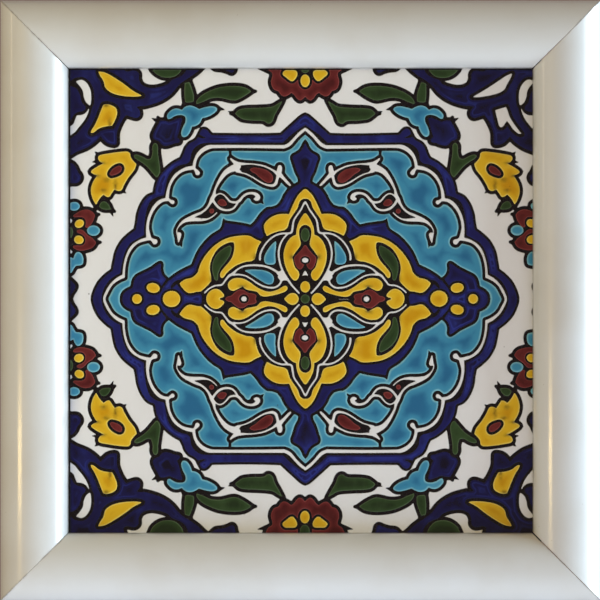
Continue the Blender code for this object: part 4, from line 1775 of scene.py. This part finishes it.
    def _stain(self, glaze: Glaze, places: np.ndarray) -> np.ndarray:
        """How stained each place is: ink run into yellow corners, and cobalt thick in the spandrels.

        Args:
            glaze: The glaze.
            places: Points on the drawing.

        Returns:
            Shares of the stain's colour.
        """
        stain = np.zeros(len(places))
        if glaze is Glaze.COBALT:
            away = self.canvas.at(self.medallion, places)
            stain = self.thick_cobalt * np.clip(away / self.thick_ramp, 0, self.thick_most)
        if glaze is Glaze.YELLOW:
            u, v = -np.abs(places[:, 0]), np.abs(places[:, 1])
            for x, z, wide, high in self.stains:
                ink = np.exp(-(((u - x) / wide) ** 2 + ((v - z) / high) ** 2))
                stain = np.maximum(stain, self.ink_strength * ink)
        return stain


# Frame


class Member(Enum):
    """The four lengths of the frame, by their quarter turns clockwise from the top."""

    TOP = ("frame_top_rail", 0)
    RIGHT = ("frame_right_stile", 1)
    BOTTOM = ("frame_bottom_rail", 2)
    LEFT = ("frame_left_stile", 3)


@dataclass
class MouldedFrame:
    """The mitred frame: four lengths of one half-round moulding."""

    rebate_width: float = 3.5 * MM
    rebate_depth: float = 9.1 * MM
    base_height: float = 10.3 * MM
    back_arris: float = 0.6 * MM
    crown_steps: int = 64
    weld: float = 0.001 * MM
    edge_width: float = 0.14 * MM
    # Each mitre's opening at the sight edge and at the outer edge, clockwise from the top left
    mitres: tuple[Span, ...] = (
        (0.2 * MM, 0.0), (0.22 * MM, 0.0), (0.34 * MM, 0.1 * MM), (0.08 * MM, 0.0)
    )

    def build(self) -> None:
        """Make the four lengths."""
        low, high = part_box("frame_top_rail")
        self.outer_half = high.z
        self.crown = -low.y
        self.sight_half = low.z
        finish = Lacquer().material(self.sight_half)
        shop = self._moulding_tree()
        for member in Member:
            self._length(member, shop, finish)

    def _section(self) -> list[Span]:
        """Draw the moulding's section.

        Returns:
            Its corners: distance out from the sight edge, and height over the back.
        """
        half = (self.outer_half - self.sight_half) / 2
        rise = self.crown - self.base_height
        turns = [math.pi * step / self.crown_steps for step in range(self.crown_steps + 1)]
        crown = [(half - half * math.cos(t), self.base_height + rise * math.sin(t)) for t in turns]
        return [
            (self.rebate_width, 0.0), (self.rebate_width, self.rebate_depth), (0.0, self.rebate_depth),
            *crown, (2 * half, self.back_arris), (2 * half - self.back_arris, 0.0),
        ]

    def _moulding_tree(self) -> NodeShop:
        """A tree that runs a section along X, mitres its ends and turns it into its place.

        Returns:
            The tree.
        """
        sizes = (
            "Sight Half", "Face Width", "Left Inner Gap", "Left Outer Gap", "Right Inner Gap",
            "Right Outer Gap", "Turn",
        )
        shop = NodeShop("mitred_moulding", {
            "Section": "NodeSocketGeometry", **dict.fromkeys(sizes, "NodeSocketFloat"),
            "Material": "NodeSocketMaterial",
        })
        given = shop.inputs
        section = given["Section"]
        run = shop.add("GeometryNodeExtrudeMesh", {"mode": "FACES"}, {
            "Mesh": section, "Offset": shop.vector(X=1.0), "Offset Scale": 1.0, "Individual": False,
        })
        start = shop.add("GeometryNodeFlipFaces", {}, {"Mesh": section})[0]
        whole = shop.joined(run[0], start)
        sockets = {"Geometry": whole, "Distance": self.weld}
        welded = shop.add("GeometryNodeMergeByDistance", {}, sockets)[0]
        place = shop.add("ShaderNodeSeparateXYZ", {}, {0: shop.add("GeometryNodeInputPosition", {}, {})[0]})
        share = shop.number("DIVIDE", place["Z"], given["Face Width"])
        reach = shop.number("ADD", place["Z"], given["Sight Half"])

        def gap(side: str) -> Link:
            """How far one end stands back from the mitre, for half the joint's opening.

            Args:
                side: The end, Left or Right.

            Returns:
                The distance along X.
            """
            wide = shop.add("ShaderNodeMix", {"data_type": "FLOAT"}, {
                0: share, 2: given[side + " Inner Gap"], 3: given[side + " Outer Gap"],
            })[0]
            return shop.number("MULTIPLY", wide, math.sqrt(0.5))

        left = shop.number("MULTIPLY", shop.number("SUBTRACT", reach, gap("Left")), -1.0)
        right = shop.number("SUBTRACT", reach, gap("Right"))
        x = shop.add("ShaderNodeMix", {"data_type": "FLOAT"}, {0: place["X"], 2: left, 3: right})[0]
        moved = shop.vector(X=x, Y=place["Y"], Z=reach)
        mitred = shop.add("GeometryNodeSetPosition", {}, {"Geometry": welded, "Position": moved})[0]
        shop.close(shop.transformed(mitred, Rotation=shop.vector(Y=given["Turn"])))
        return shop

    def _length(self, member: Member, shop: NodeShop, finish: bpy.types.Material) -> None:
        """One length of the frame.

        Args:
            member: Which one.
            shop: The moulding's tree.
            finish: The lacquer.
        """
        name, turns = member.value
        bm = bmesh.new()
        bm.faces.new([bm.verts.new((0.0, -height, out)) for out, height in self._section()])
        draft = object_of(bm, "moulding_draft")
        left, right = self.mitres[turns], self.mitres[(turns + 1) % 4]
        shop.run(draft, {
            "Sight Half": self.sight_half, "Face Width": self.outer_half - self.sight_half,
            "Left Inner Gap": left[0], "Left Outer Gap": left[1],
            "Right Inner Gap": right[0], "Right Outer Gap": right[1],
            "Turn": turns * math.pi / 2, "Material": finish,
        })
        plain = settle(draft, "moulding_plain")
        bm = bmesh.new()
        bm.from_mesh(plain.data)
        bmesh.ops.recalc_face_normals(bm, faces=bm.faces)
        bm.to_mesh(plain.data)
        bm.free()
        cutters = Recess().cutters() if member is Member.TOP else []
        for cutter in cutters:
            modifier = plain.modifiers.new("recess", "BOOLEAN")
            modifier.operation = "DIFFERENCE"
            modifier.solver = "EXACT"
            modifier.object = cutter
        arris(plain, self.edge_width)
        piece = settle(plain, name + "_moulding")
        for cutter in cutters:
            bpy.data.objects.remove(cutter)
        soften(piece)
        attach(piece, BODY)
        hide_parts(name)
        LOG.info("%s: %d faces", piece.name, len(piece.data.polygons))


@dataclass
class Recess:
    """The hollow in the back of the top rail, for the hanger and the head of the wall's nail."""

    play: float = 0.4 * MM
    seat_depth: float = 2.0 * MM
    extra_depth: float = 1.5 * MM
    below_teeth: float = 2.4 * MM
    side_margin: float = 1.6 * MM
    overshoot: float = 2.0 * MM
    bore_radius: float = 0.9 * MM
    bore_depth: float = 7.9 * MM
    bore_sides: int = 24

    def cutters(self) -> list[bpy.types.Object]:
        """The shapes that are cut out of the rail.

        Returns:
            Their objects.
        """
        hanger = SawtoothHanger()
        low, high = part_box("sawtooth_hanger")
        play = Vector((self.play, 0, self.play))
        seat = block(
            Vector((low.x, -self.seat_depth, low.z)) - play, Vector((high.x, self.overshoot, high.z)) + play
        )
        half = hanger.tooth_count * hanger.tooth_pitch / 2 + self.side_margin
        pocket = block(
            Vector((-half, -self.seat_depth - self.extra_depth, low.z - self.below_teeth)),
            Vector((half, self.overshoot, high.z - hanger.tooth_depth)),
        )
        made = [object_of(seat, "seat_cutter"), object_of(pocket, "pocket_cutter")]
        for node in NAILS:
            middle = middle_of(node)
            bore = bmesh.new()
            bmesh.ops.create_cone(
                bore, cap_ends=True, segments=self.bore_sides, radius1=self.bore_radius,
                radius2=self.bore_radius, depth=self.bore_depth + self.overshoot,
            )
            bmesh.ops.rotate(bore, matrix=Matrix.Rotation(math.pi / 2, 3, "X"), verts=bore.verts)
            place = (middle.x, (self.overshoot - self.bore_depth) / 2, middle.z)
            bmesh.ops.translate(bore, vec=place, verts=bore.verts)
            made.append(object_of(bore, "bore_cutter"))
        for cutter in made:
            cutter.hide_render = True
        return made


@dataclass
class SawtoothHanger:
    """The pressed steel strip with teeth along its lower edge."""

    end_radius: float = 2.2 * MM
    end_steps: int = 8
    tooth_count: int = 9
    tooth_pitch: float = 2.8 * MM
    tooth_depth: float = 1.8 * MM
    edge_width: float = 0.12 * MM
    hole_radius: float = 0.9 * MM
    hole_sides: int = 32

    def build(self) -> None:
        """Make the strip and dress the nails."""
        steel = ZincPlate().material()
        low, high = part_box("sawtooth_hanger")
        draft = object_of(self._blank(low, high), "strip_draft")
        left, right = map(middle_of, NAILS)
        self._teeth_tree().run(draft, {
            "Tooth Count": self.tooth_count, "Tooth Pitch": self.tooth_pitch,
            "Tooth Depth": self.tooth_depth, "Thickness": high.y - low.y, "Edge Z": low.z,
            "Middle Y": (low.y + high.y) / 2, "Hole Radius": self.hole_radius,
            "Hole Spacing": right.x - left.x, "Hole Z": left.z, "Material": steel,
        })
        plain = settle(draft, "strip_plain")
        arris(plain, self.edge_width)
        piece = settle(plain, "hanger_strip")
        soften(piece)
        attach(piece, BODY)
        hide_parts("sawtooth_hanger")
        LOG.info("hanger_strip: %d faces", len(piece.data.polygons))
        for node in NAILS:
            nail = frame["nodes"][node]
            nail.data.materials.clear()
            nail.data.materials.append(steel)
            LOG.info("%s: dressed", node)

    def _blank(self, low: Vector, high: Vector) -> bmesh.types.BMesh:
        """The strip before its teeth are cut, with round corners.

        Args:
            low: Its lowest corner.
            high: Its highest corner.

        Returns:
            The blank.
        """
        bm = bmesh.new()
        radius = self.end_radius
        left, right = low.x + radius, high.x - radius
        bottom, top = low.z + radius, high.z - radius
        centres = ((right, top, 0), (left, top, 1), (left, bottom, 2), (right, bottom, 3))
        outline = []
        for x, z, quarter in centres:
            for step in range(self.end_steps + 1):
                turn = (quarter + step / self.end_steps) * math.pi / 2
                point = (x + radius * math.cos(turn), high.y, z + radius * math.sin(turn))
                outline.append(bm.verts.new(point))
        face = bm.faces.new(outline)
        made = bmesh.ops.extrude_face_region(bm, geom=[face])
        moved = [item for item in made["geom"] if isinstance(item, bmesh.types.BMVert)]
        bmesh.ops.translate(bm, vec=(0, low.y - high.y, 0), verts=moved)
        bmesh.ops.recalc_face_normals(bm, faces=bm.faces)
        return bm

    def _teeth_tree(self) -> NodeShop:
        """A tree that cuts the row of teeth and the nail holes out of a strip.

        Returns:
            The tree.
        """
        sizes = (
            "Tooth Pitch", "Tooth Depth", "Thickness", "Edge Z", "Middle Y", "Hole Radius", "Hole Spacing",
            "Hole Z",
        )
        shop = NodeShop("sawtooth_cut", {
            "Strip": "NodeSocketGeometry", "Tooth Count": "NodeSocketInt",
            **dict.fromkeys(sizes, "NodeSocketFloat"), "Material": "NodeSocketMaterial",
        })
        given = shop.inputs
        pitch, middle_y = given["Tooth Pitch"], given["Middle Y"]
        deep = shop.number("MULTIPLY", given["Thickness"], 3.0)
        wide = shop.number("MULTIPLY", pitch, math.sqrt(0.5))
        high = shop.number("MULTIPLY", given["Tooth Depth"], 2.0)
        square = shop.add("GeometryNodeMeshCube", {}, {"Size": shop.vector(X=wide, Y=deep, Z=wide)})[0]
        stood = shop.transformed(square, Rotation=(0.0, math.pi / 4, 0.0))
        squash = shop.vector(X=1.0, Y=1.0, Z=shop.number("DIVIDE", high, pitch))
        tooth = shop.transformed(stood, Scale=squash)
        last = shop.number("MULTIPLY", shop.number("SUBTRACT", given["Tooth Count"], 1.0), 0.5)
        start_x = shop.number("MULTIPLY", shop.number("MULTIPLY", last, pitch), -1.0)
        start = shop.vector(X=start_x, Y=middle_y, Z=given["Edge Z"])
        teeth = shop.row(given["Tooth Count"], start, shop.vector(X=pitch), tooth)
        rod = shop.add("GeometryNodeMeshCylinder", {"fill_type": "NGON"}, {
            "Vertices": self.hole_sides, "Radius": given["Hole Radius"], "Depth": deep,
        })[0]
        drill = shop.transformed(rod, Rotation=(math.pi / 2, 0.0, 0.0))
        hole_x = shop.number("MULTIPLY", given["Hole Spacing"], -0.5)
        first_hole = shop.vector(X=hole_x, Y=middle_y, Z=given["Hole Z"])
        holes = shop.row(2, first_hole, shop.vector(X=given["Hole Spacing"]), drill)
        cutters = shop.add("GeometryNodeRealizeInstances", {}, {0: shop.joined(teeth, holes)})[0]
        cut_strip = shop.add("GeometryNodeMeshBoolean", {"operation": "DIFFERENCE", "solver": "EXACT"}, {
            "Mesh 1": given["Strip"], "Mesh 2": cutters,
        })[0]
        shop.close(cut_strip)
        return shop


@dataclass
class BackingBoard:
    """The hardboard panel in the frame's back."""

    edge_width: float = 0.25 * MM

    def build(self) -> None:
        """Make the board with softened edges."""
        draft = object_of(block(*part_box("backing_board")), "board_draft")
        arris(draft, self.edge_width)
        piece = settle(draft, "fibre_board")
        piece.data.materials.append(Hardboard().material())
        soften(piece)
        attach(piece, BODY)
        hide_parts("backing_board")
        LOG.info("fibre_board: %d faces", len(piece.data.polygons))


# Studio


@dataclass(frozen=True)
class Softbox:
    """One rectangular area light."""

    name: str
    place: Place
    wide: float
    high: float
    power: float
    colour: Colour
    aim: Place = (0.0, 0.0, 0.0)
    in_gloss: bool = True
    in_matt: bool = True

    def build(self) -> None:
        """Place the light, turned towards its aim."""
        light = bpy.data.lights.new(self.name, "AREA")
        light.shape = "RECTANGLE"
        light.size = self.wide
        light.size_y = self.high
        light.energy = self.power
        light.color = self.colour
        lamp = new_object(self.name, light)
        lamp.location = self.place
        lamp.rotation_mode = "QUATERNION"
        lamp.rotation_quaternion = (Vector(self.aim) - Vector(self.place)).to_track_quat("-Z", "Y")
        lamp.visible_camera = False
        lamp.visible_glossy = self.in_gloss
        lamp.visible_diffuse = self.in_matt


@dataclass
class Studio:
    """The pale floor, the soft light and the camera."""

    pixels: int = 600
    pixels_in_a_metre: float = 3225.0
    sight_plane: float = -10.3 * MM
    middle_pixel: Span = (300.55, 300.65)
    distance: float = 1.6
    sensor: float = 36.0
    nearest: float = 0.05
    floor_side: float = 8.0
    floor_drop: float = 0.9
    floor_colour: Colour = paint(232, 230, 226)
    floor_shade: Colour = paint(214, 212, 208)
    floor_cloud_scale: float = 3.0
    floor_clouds: float = 0.1
    floor_roughness: float = 0.7
    surroundings: Colour = (1.0, 0.71, 0.58)
    dimness: float = 0.228
    softboxes: tuple[Softbox, ...] = (
        Softbox("key_right", (2.0, -0.15, 0.15), 1.45, 0.8, 76.0, (0.72, 0.9, 1.0)),
        Softbox("key_edge", (2.0, -0.75, 0.15), 1.45, 0.4, 9.0, (0.8, 0.92, 1.0), in_matt=False),
        Softbox("fill_left", (-0.35, -0.5, 0.1), 0.3, 0.3, 1.25, (1.0, 0.86, 0.4), in_gloss=False),
        Softbox("fill_low", (0.0, -0.35, -0.9), 1.0, 0.5, 2.7, (1.0, 1.0, 0.95), in_gloss=False),
        Softbox("fill_below", (0.2, -0.58, -0.72), 1.0, 0.6, 3.0, (0.42, 0.6, 1.0), in_gloss=False),
        Softbox(
            "cream_strip", (-1.0, -0.36, 0.18), 0.05, 0.3, 0.35, (1.0, 0.78, 0.5), (0.0, -0.018, 0.18),
            in_matt=False,
        ),
        Softbox(
            "warm_panel", (-0.71, -0.775, -0.078), 0.2, 0.04, 0.95, (1.0, 0.72, 0.3), (0.0, -0.018, -0.078),
            in_matt=False,
        ),
    )

    def build(self) -> None:
        """Set up the floor, the light and the camera."""
        bpy.context.scene.view_settings.view_transform = "Standard"
        self._floor()
        self._world()
        for softbox in self.softboxes:
            softbox.build()
        self._camera()

    def _floor(self) -> None:
        """The floor, well under the frame, which hangs."""
        bm = bmesh.new()
        bmesh.ops.create_grid(bm, x_segments=1, y_segments=1, size=self.floor_side / 2)
        bmesh.ops.translate(bm, vec=(0, 0, CAD_BOX[0].z - self.floor_drop), verts=bm.verts)
        floor = object_of(bm, "floor")
        recipe = Recipe("pale_floor")
        clouds = recipe.noise(self.floor_cloud_scale, 2) * self.floor_clouds
        colour = recipe.mix(clouds, self.floor_colour, self.floor_shade)
        floor.data.materials.append(recipe.finish(Base_Color=colour, Roughness=self.floor_roughness))

    def _world(self) -> None:
        """Even, slightly warm light from all round."""
        world = bpy.data.worlds.new("studio")
        world.use_nodes = True
        bpy.context.scene.world = world
        shade = world.node_tree.nodes["Background"]
        shade.inputs["Color"].default_value = (*self.surroundings, 1.0)
        shade.inputs["Strength"].default_value = self.dimness

    def _camera(self) -> None:
        """The camera, straight in front, with the frame filling its picture."""
        width = self.pixels / self.pixels_in_a_metre
        data = bpy.data.cameras.new("camera")
        data.sensor_width = self.sensor
        data.lens = self.sensor * self.distance / width
        data.clip_start = self.nearest
        camera = new_object("camera", data)
        off = [(self.pixels / 2 - place) / self.pixels_in_a_metre for place in self.middle_pixel]
        camera.location = (off[0], self.sight_plane - self.distance, -off[1])
        camera.rotation_euler = (math.pi / 2, 0, 0)
        bpy.context.scene.camera = camera


def main() -> None:
    """Build the studio and the object's pieces in order."""
    logging.basicConfig(level=logging.INFO, format="%(name)s %(message)s")
    Studio().build()
    MouldedFrame().build()
    BackingBoard().build()
    SawtoothHanger().build()
    GlazedTile().build()


if __name__ == "__main__":
    main()
